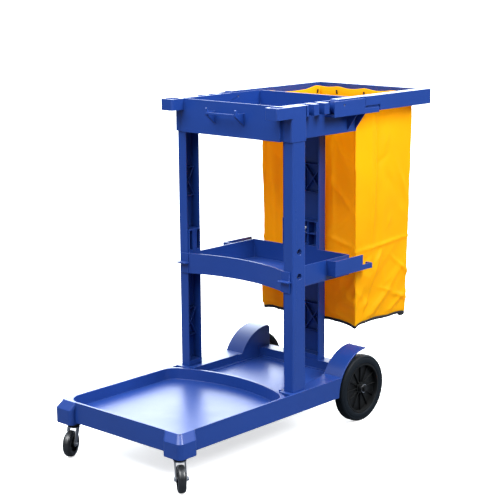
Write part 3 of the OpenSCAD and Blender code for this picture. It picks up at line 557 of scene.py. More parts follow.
def makeRowTree():
    # copies of a shape at each point, turned by the point's aim and lean
    tree, given, out = newTree("shapeRow", [("Shape", "NodeSocketObject", None),
        ("Size", "NodeSocketFloat", 1.0), ("Finish", "NodeSocketMaterial", None)])
    links = tree.links
    info = tree.nodes.new("GeometryNodeObjectInfo")
    aim = tree.nodes.new("GeometryNodeInputNamedAttribute")
    lean = tree.nodes.new("GeometryNodeInputNamedAttribute")
    for node, label in ((aim, "aim"), (lean, "lean")):
        node.data_type = "FLOAT_VECTOR"
        node.inputs["Name"].default_value = label
    turnX = tree.nodes.new("FunctionNodeAlignRotationToVector")
    turnX.axis = "X"
    turnZ = tree.nodes.new("FunctionNodeAlignRotationToVector")
    turnZ.axis = "Z"
    turnZ.pivot_axis = "X"
    put = tree.nodes.new("GeometryNodeInstanceOnPoints")
    links.new(given.outputs["Shape"], info.inputs["Object"])
    links.new(aim.outputs["Attribute"], turnX.inputs["Vector"])
    links.new(turnX.outputs["Rotation"], turnZ.inputs["Rotation"])
    links.new(lean.outputs["Attribute"], turnZ.inputs["Vector"])
    links.new(given.outputs["Geometry"], put.inputs["Points"])
    links.new(info.outputs["Geometry"], put.inputs["Instance"])
    links.new(turnZ.outputs["Rotation"], put.inputs["Rotation"])
    links.new(given.outputs["Size"], put.inputs["Scale"])
    return endTree(tree, given, out, put)


rowTree = makeRowTree()


def rowOf(name, shapeMesh, spots, material, size=1.0):
    # spots holds (place, aim, lean): the shape's X follows aim and its Z leans to lean
    shape = linkObject(name + "_shape", shapeMesh)
    mesh = meshFrom(name, [spot[0] for spot in spots], [])
    for column, label in ((1, "aim"), (2, "lean")):
        layer = mesh.attributes.new(label, "FLOAT_VECTOR", "POINT")
        for i, spot in enumerate(spots):
            layer.data[i].vector = spot[column]
    row = linkObject(name, mesh)
    runTree(row, rowTree, Shape=shape, Size=size, Finish=material)
    bpy.data.objects.remove(shape)
    smoothShade(row, 35)
    return row


def islands(node):
    # centre and box of each separate solid in a CAD node
    work = bmesh.new()
    work.from_mesh(frame["nodes"][node].data)
    bmesh.ops.remove_doubles(work, verts=work.verts, dist=1e-6)
    left, found = set(work.verts), []
    while left:
        stack, group = [left.pop()], []
        while stack:
            vert = stack.pop()
            group.append(vert.co.copy())
            for edge in vert.link_edges:
                other = edge.other_vert(vert)
                if other in left:
                    left.remove(other)
                    stack.append(other)
        low = Vector(min(p[i] for p in group) for i in range(3))
        high = Vector(max(p[i] for p in group) for i in range(3))
        found.append(((low + high) / 2, low, high))
    work.free()
    return sorted(found, key=lambda row: tuple(round(c, 4) for c in row[0]))


# Rear wheels: a turned tyre around a centre whose spokes follow a rule

wheelLook = {
    "spokes": 12,
    "spokeThick": 0.0018,
    "spokeInset": 0.020,
    "rimThick": 0.0055,
    "rimInset": 0.001,
    "webThick": 0.004,
    "webBore": 0.0102,
    "hubRadius": 0.013,
    "hubInset": 0.004,
    "lipWide": 0.004,
    "lipInset": 0.010,
    "overlap": 0.001,
    "boreRadius": 0.0062,
    "rimRadius": 0.076,
    "sidewall": 0.0925,
    "groove": 0.0015,
    "edge": 0.0006,
    "steps": 96,
    "tyreSteps": 144,
}


def makeWheelTree():
    tree, given, out = newTree("spokedCentre", [("Spokes", "NodeSocketInt", 12),
        ("Rim Radius", "NodeSocketFloat", 0.07), ("Hub Radius", "NodeSocketFloat", 0.017),
        ("Width", "NodeSocketFloat", 0.03), ("Spoke Thick", "NodeSocketFloat", 0.003),
        ("Finish", "NodeSocketMaterial", None)])
    nodes, links = tree.nodes, tree.links

    def calc(operation, *values):
        node = nodes.new("ShaderNodeMath")
        node.operation = operation
        for socket, value in zip(node.inputs, values):
            if isinstance(value, (int, float)):
                socket.default_value = value
            else:
                links.new(value, socket)
        return node.outputs[0]

    rim, hub = given.outputs["Rim Radius"], given.outputs["Hub Radius"]
    length = calc("ADD", calc("SUBTRACT", rim, hub), 2 * wheelLook["overlap"])
    middle = calc("MULTIPLY", calc("ADD", rim, hub), 0.5)
    bar = nodes.new("GeometryNodeMeshCube")
    size = nodes.new("ShaderNodeCombineXYZ")
    links.new(length, size.inputs["X"])
    links.new(given.outputs["Spoke Thick"], size.inputs["Y"])
    links.new(given.outputs["Width"], size.inputs["Z"])
    links.new(size.outputs[0], bar.inputs["Size"])
    shift = nodes.new("GeometryNodeTransform")
    away = nodes.new("ShaderNodeCombineXYZ")
    links.new(middle, away.inputs["X"])
    links.new(bar.outputs["Mesh"], shift.inputs["Geometry"])
    links.new(away.outputs[0], shift.inputs["Translation"])
    points = nodes.new("GeometryNodeMeshLine")
    points.inputs["Offset"].default_value = (0, 0, 0)
    links.new(given.outputs["Spokes"], points.inputs["Count"])
    index = nodes.new("GeometryNodeInputIndex")
    turn = calc("DIVIDE", calc("MULTIPLY", index.outputs[0], 2 * math.pi), given.outputs["Spokes"])
    angle = nodes.new("ShaderNodeCombineXYZ")
    links.new(turn, angle.inputs["Z"])
    put = nodes.new("GeometryNodeInstanceOnPoints")
    links.new(points.outputs["Mesh"], put.inputs["Points"])
    links.new(shift.outputs["Geometry"], put.inputs["Instance"])
    links.new(angle.outputs[0], put.inputs["Rotation"])
    return endTree(tree, given, out, put)


wheelTree = makeWheelTree()


def ringProfile(inner, outer, half):
    return [(inner, -half), (outer, -half), (outer, half), (inner, half)]


def joined(name, parts):
    whole = bmesh.new()
    for part in parts:
        whole.from_mesh(part)
    mesh = bpy.data.meshes.new(name)
    whole.to_mesh(mesh)
    whole.free()
    return mesh


def wheelCentre(name, half, centre, look):
    # rim, web, hub and a stepped lip round the hub, with the spokes between
    rimInner = look["rimRadius"] - look["rimThick"]
    spokes = linkObject(name + "_spokes", meshFrom("seed", [(0, 0, 0)], []))
    runTree(spokes, wheelTree, Spokes=look["spokes"], Finish=finishes["black"],
        **{"Rim Radius": rimInner, "Hub Radius": look["hubRadius"],
           "Width": 2 * half - look["spokeInset"], "Spoke Thick": look["spokeThick"]})
    spokes.data.transform(Matrix.Translation(centre) @ Matrix.Rotation(math.pi / 2, 4, "Y"))
    steps = look["steps"]
    rings = [  # inner radius, outer radius, half width, steps
        (rimInner, look["rimRadius"], half - look["rimInset"], steps),
        (look["boreRadius"], look["hubRadius"], half - look["hubInset"], steps // 2),
        (look["webBore"], rimInner + look["overlap"], look["webThick"] / 2, steps),
        (look["hubRadius"] - look["overlap"], look["hubRadius"] + look["lipWide"],
            half - look["lipInset"], steps // 2),
    ]
    parts = [lathe("ring", ringProfile(inner, outer, wide), count, centre)
        for inner, outer, wide, count in rings]
    body = linkObject(name + "_spoked", joined("spoked", [spokes.data] + parts))
    bpy.data.objects.remove(spokes)
    edge = body.modifiers.new("edge", "BEVEL")
    edge.width = look["edge"]
    edge.segments = 2
    edge.limit_method = "ANGLE"
    baked(body)
    smoothShade(body, 35)
    return body


def tyreProfile(radius, half, look):
    # half the outline in mm: rim seat, flat sidewall, groove, shoulder and two tread lines
    seat, wall, groove = look["rimRadius"], look["sidewall"], look["groove"]
    side = [(seat, -0.5, 3), (seat, 1.5, 0.8), (seat, 4, 0), (wall, -3, 0), (wall, -1, 0.8),
        (wall, 0, groove / mm), (wall, 1.2, groove / mm), (wall, 2, groove / mm / 2),
        (radius, -5, 1.2), (radius, -2.5, 3), (radius, -0.8, 6), (radius, 0, 9.5)]
    tread = [(-0.3, 6.5), (-1.4, 5.5), (-1.4, 4.5), (-0.2, 3.5)]
    outer = [(base + out * mm, half - inset * mm) for base, out, inset in side]
    outer += [(radius + out * mm, along * mm) for out, along in tread]
    return outer + [(a, -b) for a, b in reversed(outer)]


def addRearWheel(side, look):
    wheel, tyre = "rear_wheel_" + side, "rear_tyre_" + side
    low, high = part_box(tyre)
    centre = (low + high) / 2
    half, radius = (high.x - low.x) / 2, (high.z - low.z) / 2
    place(wheelCentre(wheel, half, centre, look), wheel, "black_plastic", finishes["black"], wheel)
    ring = linkObject(tyre + "_turned",
        lathe(tyre, tyreProfile(radius, half, look), look["tyreSteps"], centre))
    smoothShade(ring, 50)
    place(ring, wheel, "black_rubber", finishes["rubber"], tyre)


for side in ("left", "right"):
    addRearWheel(side, wheelLook)
print("rear wheels built")


# Casters: rounded forks, bolts, nuts and housings, and turned tyres

casterLook = {
    "forkEdge": 0.5,  # mm, as is the next
    "housingEdge": 1.2,
    "tyreInner": 0.026,
    "tyreHalf": 0.011,
    "innerShare": 0.9,
    "steps": 96,
    "tyreRound": [(0.60, 1.0), (0.80, 1.0), (0.90, 0.93), (0.965, 0.75), (0.992, 0.5), (1.0, 0.2)],
}


def along(vector, mesh, centre):
    # a shape turned about X is laid along another level direction
    turn = Vector((1, 0, 0)).rotation_difference(vector).to_matrix().to_4x4()
    mesh.transform(Matrix.Translation(centre) @ turn @ Matrix.Translation(-centre))
    return mesh


def addCaster(side, look):
    swivel, roller = "caster_swivel_" + side, "caster_roller_" + side
    joint = next(j for j in frame["joints"] if j["name"] == f"caster_{side}_roll")
    axis = Vector(joint["axis"])
    centre = Vector(joint["pos_m"])
    for part in ("fork", "bolt", "nut"):
        node = f"caster_{part}_{side}"
        place(softened(node, look["forkEdge"]), swivel, "zinc_steel", finishes["zinc"], node)
    node = f"caster_housing_{side}"
    place(softened(node, look["housingEdge"], 3), "cart", "black_plastic", finishes["black"], node)
    radius, half = centre.z, look["tyreHalf"]
    seat = (look["tyreInner"], half * look["innerShare"])
    outer = [seat] + [(radius * share, half * wide) for share, wide in look["tyreRound"]]
    profile = outer + [(a, -b) for a, b in reversed(outer)]
    tyre = linkObject(f"caster_tyre_{side}_turned",
        along(axis, lathe("tyre", profile, look["steps"], centre), centre))
    smoothShade(tyre, 50)
    place(tyre, roller, "black_rubber", finishes["gloss"], f"caster_tyre_{side}")


for side in ("left", "right"):
    addCaster(side, casterLook)
print("casters built")


# Waste bag: sewn cloth, hung from its eyelets and let sag by simulation

bagLook = {
    "step": 0.0095,
    "corner": 0.005,
    "rimSag": 0.012,
    "rimPull": 0.004,
    "slack": -0.004,
    "frames": 22,
    "cap": 0.007,
    "feel": {
        "quality": 6,
        "mass": 0.25,
        "tension_stiffness": 20,
        "compression_stiffness": 14,
        "shear_stiffness": 6,
        "bending_stiffness": 0.8,
    },
    "clothThick": 0.0011,
    "hemDepth": 0.028,
    "belly": 0.009,
    "taper": 0.024,
    "forward": 0.002,
    "rearDrop": 0.004,
    "eyeletGap": 0.16,
    "floorRings": 12,
    "bindingRadius": 0.0052,
    "crumple": 0.0085,
    "deeper": 1.7,
    "seed": 11,
    "lowFolds": {"count": 16, "down": (0.74, 0.24), "depth": (1.2, 3.4), "width": (5, 11)},
    "midFolds": {"count": 12, "down": (0.08, 0.6), "depth": (-2.2, 2.6), "width": (6, 16)},
    "seamDip": 0.010,
    "rightDip": 0.009,
    "seamRipple": 0.010,
    "seamBand": 0.012,
    "frontRoom": 0.001,
    "trayGap": 0.007,
    "creases": [  # wall, start and end as (along, down), depth and width in mm
        ("right", (0.36, 0.0), (0.29, 0.58), 5.0, 6),
        ("right", (0.47, 0.0), (0.38, 0.6), -4.5, 13),
        ("right", (0.0, 0.675), (1.0, 0.655), 3.2, 5),
        ("right", (0.10, 0.98), (0.42, 0.70), 3.5, 8),
        ("right", (0.25, 0.99), (0.80, 0.80), 3.6, 9),
        ("right", (0.55, 0.99), (0.95, 0.90), 3.0, 8),
        ("right", (0.70, 0.30), (0.95, 0.50), 2.4, 10),
        ("front", (0.72, 0.05), (0.76, 0.60), 4.0, 9),
        ("front", (0.80, 0.22), (1.0, 0.30), 2.6, 9),
        ("front", (0.70, 0.62), (1.0, 0.66), 2.8, 7),
        ("front", (0.72, 0.98), (1.0, 0.80), 3.2, 9),
        ("front", (0.64, 0.06), (0.90, 0.30), 3.6, 9),
        ("front", (0.74, 0.02), (0.98, 0.16), 3.0, 8),
        ("front", (0.68, 0.34), (0.96, 0.50), 3.0, 10),
        ("front", (0.66, 0.64), (0.92, 0.52), 2.8, 8),
        ("front", (0.68, 0.97), (0.94, 0.72), 3.4, 9),
        ("front", (0.10, 0.10), (0.14, 0.70), 3.5, 10),
        ("back", (0.30, 0.0), (0.33, 0.7), 4.0, 8),
        ("back", (0.68, 0.0), (0.66, 0.7), 4.0, 8),
        ("left", (0.36, 0.0), (0.29, 0.58), 5.0, 6),
        ("left", (0.0, 0.67), (1.0, 0.66), 3.0, 5),
    ],
}


def bagOutline(low, high, corner, step):
    # points round the bag from its front left corner, at one height
    x0, x1, y0, y1 = low.x, high.x, low.y, high.y
    runs = [((x0 + corner, y0), (x1 - corner, y0), (x1 - corner, y0 + corner), -90),
        ((x1, y0 + corner), (x1, y1 - corner), (x1 - corner, y1 - corner), 0),
        ((x1 - corner, y1), (x0 + corner, y1), (x0 + corner, y1 - corner), 90),
        ((x0, y1 - corner), (x0, y0 + corner), (x0 + corner, y0 + corner), 180)]
    points = []
    for start, end, pivot, turn in runs:
        a, b = Vector(start), Vector(end)
        count = max(2, round((b - a).length / step))
        points += [a.lerp(b, i / count) for i in range(count + 1)]
        for share in (1 / 3, 2 / 3):
            angle = math.radians(turn + 90 * share)
            points.append(Vector(pivot) + corner * Vector((math.cos(angle), math.sin(angle))))
    return points


def rimSag(spot, eyelets, look):
    # how far the rim hangs between the two nearest eyelets, from 0 at one to 1 midway
    gaps = sorted((spot - eyelet).length for eyelet in eyelets)
    near, far = gaps[0], gaps[1]
    share = near / (near + far)
    return min(1.0, 4 * share * (1 - share)) * min(1.0, (near + far) / look["eyeletGap"])


def bagMesh(look):
    low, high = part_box("waste_bag")
    pegs = islands("bag_frame_pegs") + islands("tray_pegs")
    eyelets = [Vector((row[0].x, row[0].y)) for row in pegs]
    rimPoints = bagOutline(low, high, look["corner"], look["step"])
    count = len(rimPoints)
    middle = Vector(((low.x + high.x) / 2, (low.y + high.y) / 2))
    levels = round((high.z - low.z) / look["step"])
    verts, uvs, travel = [], [], [0.0]
    for i in range(1, count + 1):
        travel.append(travel[-1] + (rimPoints[i % count] - rimPoints[i - 1]).length)
    for level in range(levels + 1):
        share = level / levels
        fade = max(0.0, 1 - share * 5)
        for i, spot in enumerate(rimPoints):
            back = (spot.y - low.y) / (high.y - low.y)
            sag = rimSag(spot, eyelets, look)
            inward = (middle - spot).normalized() * look["rimPull"] * sag * fade
            z = high.z - look["rimSag"] * sag * (1 - share) - share * (high.z - low.z)
            drop = look["rearDrop"] * share * back
            wider = 1 + look["belly"] * min(1.0, share * 3) / high.x
            ahead = look["forward"] * min(1.0, share * 4) * (1 - back)
            lean = look["taper"] * share ** 2 * back + ahead
            verts.append(Vector(((spot.x + inward.x) * wider, spot.y + inward.y - lean, z - drop)))
            uvs.append((travel[i], z))
    faces = []
    for level in range(levels):
        for i in range(count):
            a, b = level * count + i, level * count + (i + 1) % count
            faces.append((a, a + count, b + count, b))
    ring = levels * count
    hub = Vector((0, 0, 0))
    for i in range(count):
        hub += verts[ring + i] / count
    last = ring
    for k in range(1, look["floorRings"]):
        start = len(verts)
        for i in range(count):
            verts.append(hub + (verts[ring + i] - hub) * (1 - k / look["floorRings"]))
            uvs.append((verts[-1].x, verts[-1].y))
        for i in range(count):
            a, b = last + i, last + (i + 1) % count
            faces.append((a, start + i, start + (i + 1) % count, b))
        last = start
    verts.append(hub)
    uvs.append((hub.x, hub.y))
    faces += [(last + i, len(verts) - 1, last + (i + 1) % count) for i in range(count)]
    mesh = meshFrom("bag", verts, faces)
    layer = mesh.uv_layers.new(name="cloth")
    for loop in mesh.loops:
        layer.data[loop.index].uv = uvs[loop.vertex_index]
    return mesh, count, levels


def faceSpot(spot, low, high):
    # which wall a point is on, how far along it (0 to 1), and the wall's width
    gaps = [("right", high.x - spot.x), ("left", spot.x - low.x),
        ("back", high.y - spot.y), ("front", spot.y - low.y)]
    wall = min(gaps, key=lambda row: row[1])[0]
    if wall in ("right", "left"):
        return wall, (spot.y - low.y) / (high.y - low.y), high.y - low.y
    return wall, (spot.x - low.x) / (high.x - low.x), high.x - low.x


def makeCreases(look):
    # the creases listed, and seeded ones: more of them near the floor
    rng = random.Random(look["seed"])
    creases = list(look["creases"])
    low, mid = look["lowFolds"], look["midFolds"]
    for wall in ("right", "left", "back", "front"):
        for _ in range(low["count"]):
            a, d = rng.random(), low["down"][0] + low["down"][1] * rng.random()
            end = (a + rng.uniform(-0.35, 0.35), d - rng.uniform(0.02, 0.14))
            creases.append((wall, (a, d), end, rng.uniform(*low["depth"]), rng.uniform(*low["width"])))
        for _ in range(mid["count"]):
            a, d = rng.random(), mid["down"][0] + mid["down"][1] * rng.random()
            end = (a + rng.uniform(-0.3, 0.3), d + rng.uniform(-0.12, 0.12))
            creases.append((wall, (a, d), end, rng.uniform(*mid["depth"]), rng.uniform(*mid["width"])))
    return creases


def creaseDepth(wall, along, down, width, height, creases):
    depth = 0.0
    for owner, start, end, deep, wide in creases:
        if owner != wall:
            continue
        a = Vector((start[0] * width, start[1] * height))
        b = Vector((end[0] * width, end[1] * height))
        p = Vector((along * width, down * height))
        run = b - a
        share = (p - a).dot(run) / run.length_squared
        if share < -0.3 or share > 1.3:
            continue
        off = (p - a - run * share).length
        taper = max(0.0, 1 - abs(share - 0.5) / 0.8)
        depth += deep * mm * taper * math.exp(-(off / (wide * mm)) ** 2)
    return depth


def crumpled(spot, low, high, look):
    # slow dents all over, finer ones and soft ridges that grow towards the floor
    x, y, z = spot
    lower = max(0.0, ((high.z - z) / (high.z - low.z) - 0.6) / 0.4)
    broad = noise.noise(Vector((x * 6 + 3.1, y * 6, z * 3)))
    fine = noise.noise(Vector((x * 24, y * 24, z * 17)))
    ridge = 1 - 2.4 * abs(noise.noise(Vector((x * 10 + z * 6, y * 10 - z * 8, 1.7))))
    return look["crumple"] * (0.9 * broad + (0.10 + 0.22 * lower) * fine
        + (0.15 + 0.55 * lower) * max(0.0, ridge))


def seamDrop(spot, low, high, look):
    # the floor seam hangs lower at the corners and ripples between them
    corner = abs(faceSpot(spot, low, high)[1] - 0.5) * 2
    ripple = noise.noise(Vector((spot.x * 13, spot.y * 13, 4.2)))
    heavy = look["rightDip"] * corner ** 4 if spot.x > 0 else 0.0
    return look["seamDip"] * (corner ** 3 - 0.45) + look["seamRipple"] * ripple + heavy


def hangCloth(bag, held, look):
    # a short simulation with the rim held, capped so that the bag keeps its room
    start = [vert.co.copy() for vert in bag.data.vertices]
    pins = bag.vertex_groups.new(name="held")
    pins.add(list(range(held)), 1.0, "REPLACE")
    cloth = bag.modifiers.new("hang", "CLOTH")
    for setting, value in look["feel"].items():
        setattr(cloth.settings, setting, value)
    cloth.settings.shrink_min = look["slack"]
    cloth.settings.vertex_group_mass = "held"
    cloth.collision_settings.use_collision = False
    cloth.point_cache.frame_start = 1
    cloth.point_cache.frame_end = look["frames"]
    for number in range(1, look["frames"] + 1):
        scene.frame_set(number)
    baked(bag)
    scene.frame_set(1)
    for vert, home in zip(bag.data.vertices, start):
        move = vert.co - home
        if move.length > look["cap"]:
            vert.co = home + move.normalized() * look["cap"]


def creaseBag(bag, low, high, look):
    creases = makeCreases(look)
    normals = [vert.normal.copy() for vert in bag.data.vertices]
    for vert, normal in zip(bag.data.vertices, normals):
        down = (high.z - vert.co.z) / (high.z - low.z)
        hold = min(1.0, down * 9) * (1.0 if vert.co.z > low.z + look["seamBand"] else 0.4)
        wall, along, width = faceSpot(vert.co, low, high)
        push = crumpled(vert.co, low, high, look)
        if abs(normal.z) < 0.6:  # a wall, not the floor
            push += look["deeper"] * creaseDepth(wall, along, down, width, high.z - low.z, creases)
            vert.co.z -= seamDrop(vert.co, low, high, look) * min(1.0, max(0.0, down - 0.75) * 4)
        else:
            vert.co.z -= seamDrop(vert.co, low, high, look) * abs(along - 0.5) * 2
        vert.co += normal * push * hold
        vert.co.y = max(vert.co.y, low.y - look["frontRoom"])


def hangBag(look):
    mesh, count, levels = bagMesh(look)
    bag = linkObject("waste_bag_sewn", mesh)
    hangCloth(bag, count, look)
    fine = bag.modifiers.new("fine", "SUBSURF")
    fine.levels = fine.render_levels = 1
    baked(bag)
    creaseBag(bag, *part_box("waste_bag"), look)
    # subdivision keeps the sewn rings' points first, so their loops can be read here
    edgeLoop, rimLoop = [[bag.data.vertices[level * count + i].co.copy() for i in range(count)]
        for level in (levels, 0)]
    wall = bag.modifiers.new("wall", "SOLIDIFY")
    wall.thickness = look["clothThick"]
    wall.offset = -1
    baked(bag)
    smoothShade(bag, 60)
    return bag, edgeLoop, rimLoop


bag, edgeLoop, rimLoop = hangBag(bagLook)
print("bag hung")
bagLow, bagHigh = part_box("waste_bag")
# pieces placed on the bag are gathered in this list
onBag = []


def placeOnBag(obj, slot, material, *nodes):
    place(obj, "cart", slot, material, *nodes)
    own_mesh(obj)
    onBag.append(obj)


placeOnBag(bag, "yellow_cloth", finishes["yellow"], "waste_bag")
onBag.clear()


# Bag trim: bound floor seam, doubled hem with a row of stitches at each, eyelets

trimLook = {
    "stitchLong": 0.0017,
    "stitchHigh": 0.0005,
    "stitchThick": 0.00042,
    "stitchGap": 0.0055,
    "hemThick": 0.0013,
    "foldHigh": 0.0012,
    "hemSide": 0.02,
    "hemHalves": (0.183, 0.138),
    "tapeFlat": 0.55,
    "tapeDrop": 0.0005,
    "endRadius": 0.0056,
    "endFlat": 0.7,
    "endEdge": 0.0018,
    "endPath": [(-2, -24, -1), (-1, -17, -4), (0, -9, -5), (0, -3, -4), (-1, 1, -1)],  # mm
}


def stitchMesh(look):
    bow = [(-1, -0.6), (-0.7, 0.5), (0, 1), (0.7, 0.5), (1, -0.6)]
    return tubeAlong("stitch", [Vector((x * look["stitchLong"], 0, z * look["stitchHigh"]))
        for x, z in bow], look["stitchThick"], 6, False)


def evenSpots(loop, gap, outward, drop=0.0):
    # places along a loop, a fixed gap apart, with the way along and the way out
    centre = sum(loop, Vector()) / len(loop)
    spots, left, n = [], 0.0, len(loop)
    for i in range(n):
        a, b = loop[i], loop[(i + 1) % n]
        length = (b - a).length
        if length < 1e-7:
            continue
        way = (b - a) / length
        out = way.cross(Vector((0, 0, 1)))
        flatOut = Vector((a.x - centre.x, a.y - centre.y, 0))
        if out.dot(flatOut) < 0:
            out = -out
        out.normalize()
        while left < length:
            spots.append((a + way * left + out * outward + Vector((0, 0, drop)), way, out))
            left += gap
        left -= length
    return spots


def hemBand(rim, depth, cloth, look):
    # a strip folded over the rim, outside and inside
    centre = sum(rim, Vector()) / len(rim)
    thick, inside = look["hemThick"], look["hemThick"] + cloth
    down, fold = Vector((0, 0, -depth)), Vector((0, 0, look["foldHigh"]))
    wide, deep = look["hemHalves"]
    rows = []
    for a in rim:
        away = a - centre
        onSide = abs(abs(a.x) - abs(rim[0].x)) < look["hemSide"]
        if onSide and abs(away.x) / wide > abs(away.y) / deep:
            out = Vector((math.copysign(1, away.x), 0, 0))
        else:
            out = Vector((0, math.copysign(1, away.y), 0))
        rows.append([a + down + out * thick, a + out * thick * 1.1, a + out * thick * 0.5 + fold,
            a - out * thick * 1.2 + fold, a - out * inside, a + down - out * inside])
    verts = [p for row in rows for p in row]
    faces, m, n = [], 6, len(rows)
    for i in range(n):
        for j in range(m):
            a, b = i * m + j, i * m + (j + 1) % m
            c, d = ((i + 1) % n) * m + (j + 1) % m, ((i + 1) % n) * m + j
            faces.append((a, b, c, d))
    return recalculated(meshFrom("hem", verts, faces))


def addTape(look):
    # black tape bound round the floor seam, its ends folded under one corner
    path = [p - Vector((0, 0, look["tapeDrop"])) for p in edgeLoop]
    binding = linkObject("waste_bag_binding",
        tubeAlong("binding", path, bagLook["bindingRadius"], 8, True, look["tapeFlat"]))
    smoothShade(binding, 60)
    placeOnBag(binding, "yellow_cloth", finishes["binding"])
    corner = max(edgeLoop, key=lambda p: p.x + p.y)
    endPath = [corner + Vector(step) * mm for step in look["endPath"]]
    tapeEnd = linkObject("waste_bag_tape_end",
        tubeAlong("tapeEnd", endPath, look["endRadius"], 10, False, look["endFlat"]))
    edge = tapeEnd.modifiers.new("edge", "BEVEL")
    edge.width = look["endEdge"]
    edge.segments = 3
    baked(tapeEnd)
    smoothShade(tapeEnd, 60)
    placeOnBag(tapeEnd, "yellow_cloth", finishes["binding"])


def addStitches(name, loop, outward, drop, look):
    spots = evenSpots(loop, look["stitchGap"], outward, drop)
    row = rowOf(name, stitchMesh(look), spots, finishes["thread"])
    placeOnBag(row, "yellow_cloth", finishes["thread"])


hem = linkObject("waste_bag_hem",
    hemBand(rimLoop, bagLook["hemDepth"], bagLook["clothThick"], trimLook))
smoothShade(hem, 60)
placeOnBag(hem, "yellow_cloth", finishes["yellow"])
addTape(trimLook)
addStitches("waste_bag_stitches", rimLoop, 0.0017, 0.003 - bagLook["hemDepth"], trimLook)
addStitches("waste_bag_seam_stitches", edgeLoop, 0.0012, 0.0065, trimLook)


eyeletLook = {
    "steps": 24,
    "profile": [(4.5, -1.6), (5.5, -2.6), (8.2, -2.2), (8.8, -1.0), (8.8, 1.8), (8.2, 3.0),
        (5.5, 3.4), (4.5, 2.4)],  # radius and place along the axis, in mm
}


def eyeletMesh(look):
    profile = [(radius * mm, level * mm) for radius, level in look["profile"]]
    return lathe("eyelet", profile, look["steps"], Vector((0, 0, 0)))


def pegSpots(low, high):
    # where each peg passes through the cloth, and the way out of the bag there
    spots = []
    for node in ("bag_frame_pegs", "tray_pegs"):
        for centre, a, b in islands(node):
            gaps = {(1, 0): high.x - centre.x, (-1, 0): centre.x - low.x,
                (0, 1): high.y - centre.y, (0, -1): centre.y - low.y}
            x, y = min(gaps, key=lambda k: abs(gaps[k]))
            onCloth = Vector((centre.x if x == 0 else (high.x if x > 0 else low.x),
                centre.y if y == 0 else (high.y if y > 0 else low.y), centre.z))
            spots.append((node, onCloth, Vector((x, y, 0))))
    return spots


clothSpots = pegSpots(bagLow, bagHigh)
eyeletRow = rowOf("waste_bag_eyelets", eyeletMesh(eyeletLook),
    [(spot, out, Vector((0, 0, 1))) for node, spot, out in clothSpots], finishes["black"])
placeOnBag(eyeletRow, "black_plastic", finishes["black"])


# Hooks that carry the eyelets, moulded in black

hookLook = {
    "wire": 0.0026,
    "reach": 0.0125,
    "plate": 0.0075,
    "plateThick": 0.0028,
    "plateEdge": 0.001,
    "plateSlope": 0.0008,
    "bend": [(0, -0.8), (-3.8, -0.4), (-6.2, 2.2), (-6.8, 6.0), (-6.0, 10.0)],  # out and up, in mm
    "steps": 28,
    "traySize": 0.55,
}


def hookMesh(look):
    # X points from the cloth out to the frame; the hook's nose stands up inside the bag
    reach, plate, edge = look["reach"], look["plate"], look["plateEdge"]
    path = [Vector((reach - edge, 0, 0)), Vector((reach * 0.4, 0, -0.4 * mm))]
    path += [Vector((out * mm, 0, up * mm)) for out, up in look["bend"]]
    nose = tubeAlong("nose", path, look["wire"], 10, False)
    back, slope = reach - look["plateThick"], look["plateSlope"]
    profile = [(0.0, reach), (plate - edge, reach), (plate, reach - slope), (plate, back + slope),
        (plate - edge, back), (0.0, back)]
    return joined("hook", [nose, lathe("plate", profile, look["steps"], Vector((0, 0, 0)), False)])


for node, body, size in (("bag_frame_pegs", "bag_frame", 1.0), ("tray_pegs", "cart", hookLook["traySize"])):
    spots = [(spot, out, Vector((0, 0, 1))) for owner, spot, out in clothSpots if owner == node]
    hooks = rowOf(node + "_hooks", hookMesh(hookLook), spots, finishes["black"], size)
    place(hooks, body, "black_plastic", finishes["black"], node)


print("bag trimmed")


# Screws in the uprights' holes and through the tray, with a cross recess in each head

screwLook = {
    "head": 0.0058,
    "height": 0.004,
    "dome": 0.0016,
    "foot": 0.0006,
    "slotAt": 0.0042,
    "slotLong": 0.0034,
    "slotWide": 0.0011,
    "slotDeep": 0.0016,
}


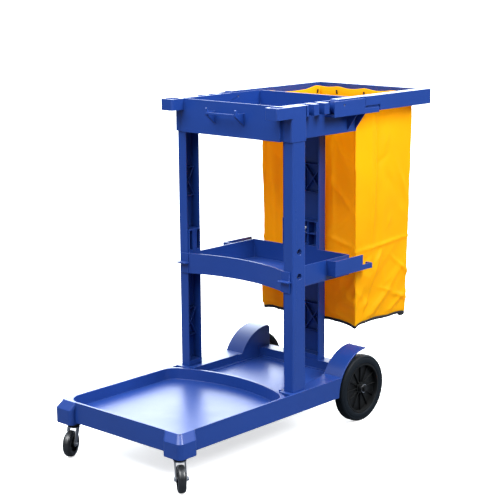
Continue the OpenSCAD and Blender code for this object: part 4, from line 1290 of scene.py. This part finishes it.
def screwMesh(look):
    # a domed head whose top faces +X, cut by a cross
    head, dome, height = look["head"], look["dome"], look["height"]
    profile = [(0.0, height + dome / 4)]
    for k in range(1, 7):
        share = k / 6
        profile.append((head * share, height - dome * share ** 3))
    profile += [(head, look["foot"]), (head - 0.0005, 0.0), (0.0, 0.0)]
    headMesh = lathe("head", profile, 32, Vector((0, 0, 0)), False)
    obj = linkObject("screwHead", recalculated(headMesh))
    cutters = []
    for wide, tall in ((look["slotLong"], look["slotWide"]), (look["slotWide"], look["slotLong"])):
        work = bmesh.new()
        bmesh.ops.create_cube(work, size=1.0, matrix=Matrix.Translation((look["slotAt"], 0, 0))
            @ Matrix.Diagonal((2 * look["slotDeep"], 2 * wide, 2 * tall, 1)))
        mesh = bpy.data.meshes.new("slot")
        work.to_mesh(mesh)
        work.free()
        cutters.append(linkObject("slot", mesh))
    for cutter in cutters:
        cut = obj.modifiers.new("cut", "BOOLEAN")
        cut.operation = "DIFFERENCE"
        cut.object = cutter
        cut.solver = "EXACT"
    baked(obj)
    for cutter in cutters:
        bpy.data.objects.remove(cutter)
    mesh = obj.data
    bpy.data.objects.remove(obj)
    return mesh


def addScrews(node, body, wayOf):
    spots = []
    for centre, low, high in islands(node):
        out = wayOf(centre, low, high)
        lean = Vector((0, 0.35, 1)) if abs(out.z) < 0.5 else Vector((0.3, 1, 0))
        face = Vector((high[i] if out[i] > 0 else low[i] if out[i] < 0 else centre[i] for i in range(3)))
        spots.append((face - out * screwLook["height"], out, lean.normalized()))
    row = rowOf(node + "_heads", screwMesh(screwLook), spots, finishes["zinc"])
    place(row, body, "zinc_steel", finishes["zinc"], node)


def shelfScrewWay(centre, low, high):
    return Vector((0, -1, 0)) if abs(centre.x) < 0.05 else Vector((math.copysign(1, centre.x), 0, 0))


def trayScrewWay(centre, low, high):
    return Vector((-math.copysign(1, centre.x), 0, 0)) if high.z - low.z < 0.015 else Vector((0, 0, 1))


addScrews("shelf_screws", "cart", shelfScrewWay)
addScrews("tray_screws", "cart", trayScrewWay)
addScrews("base_screws", "cart", lambda centre, low, high: Vector((0, 0, -1)))
print("screws driven")
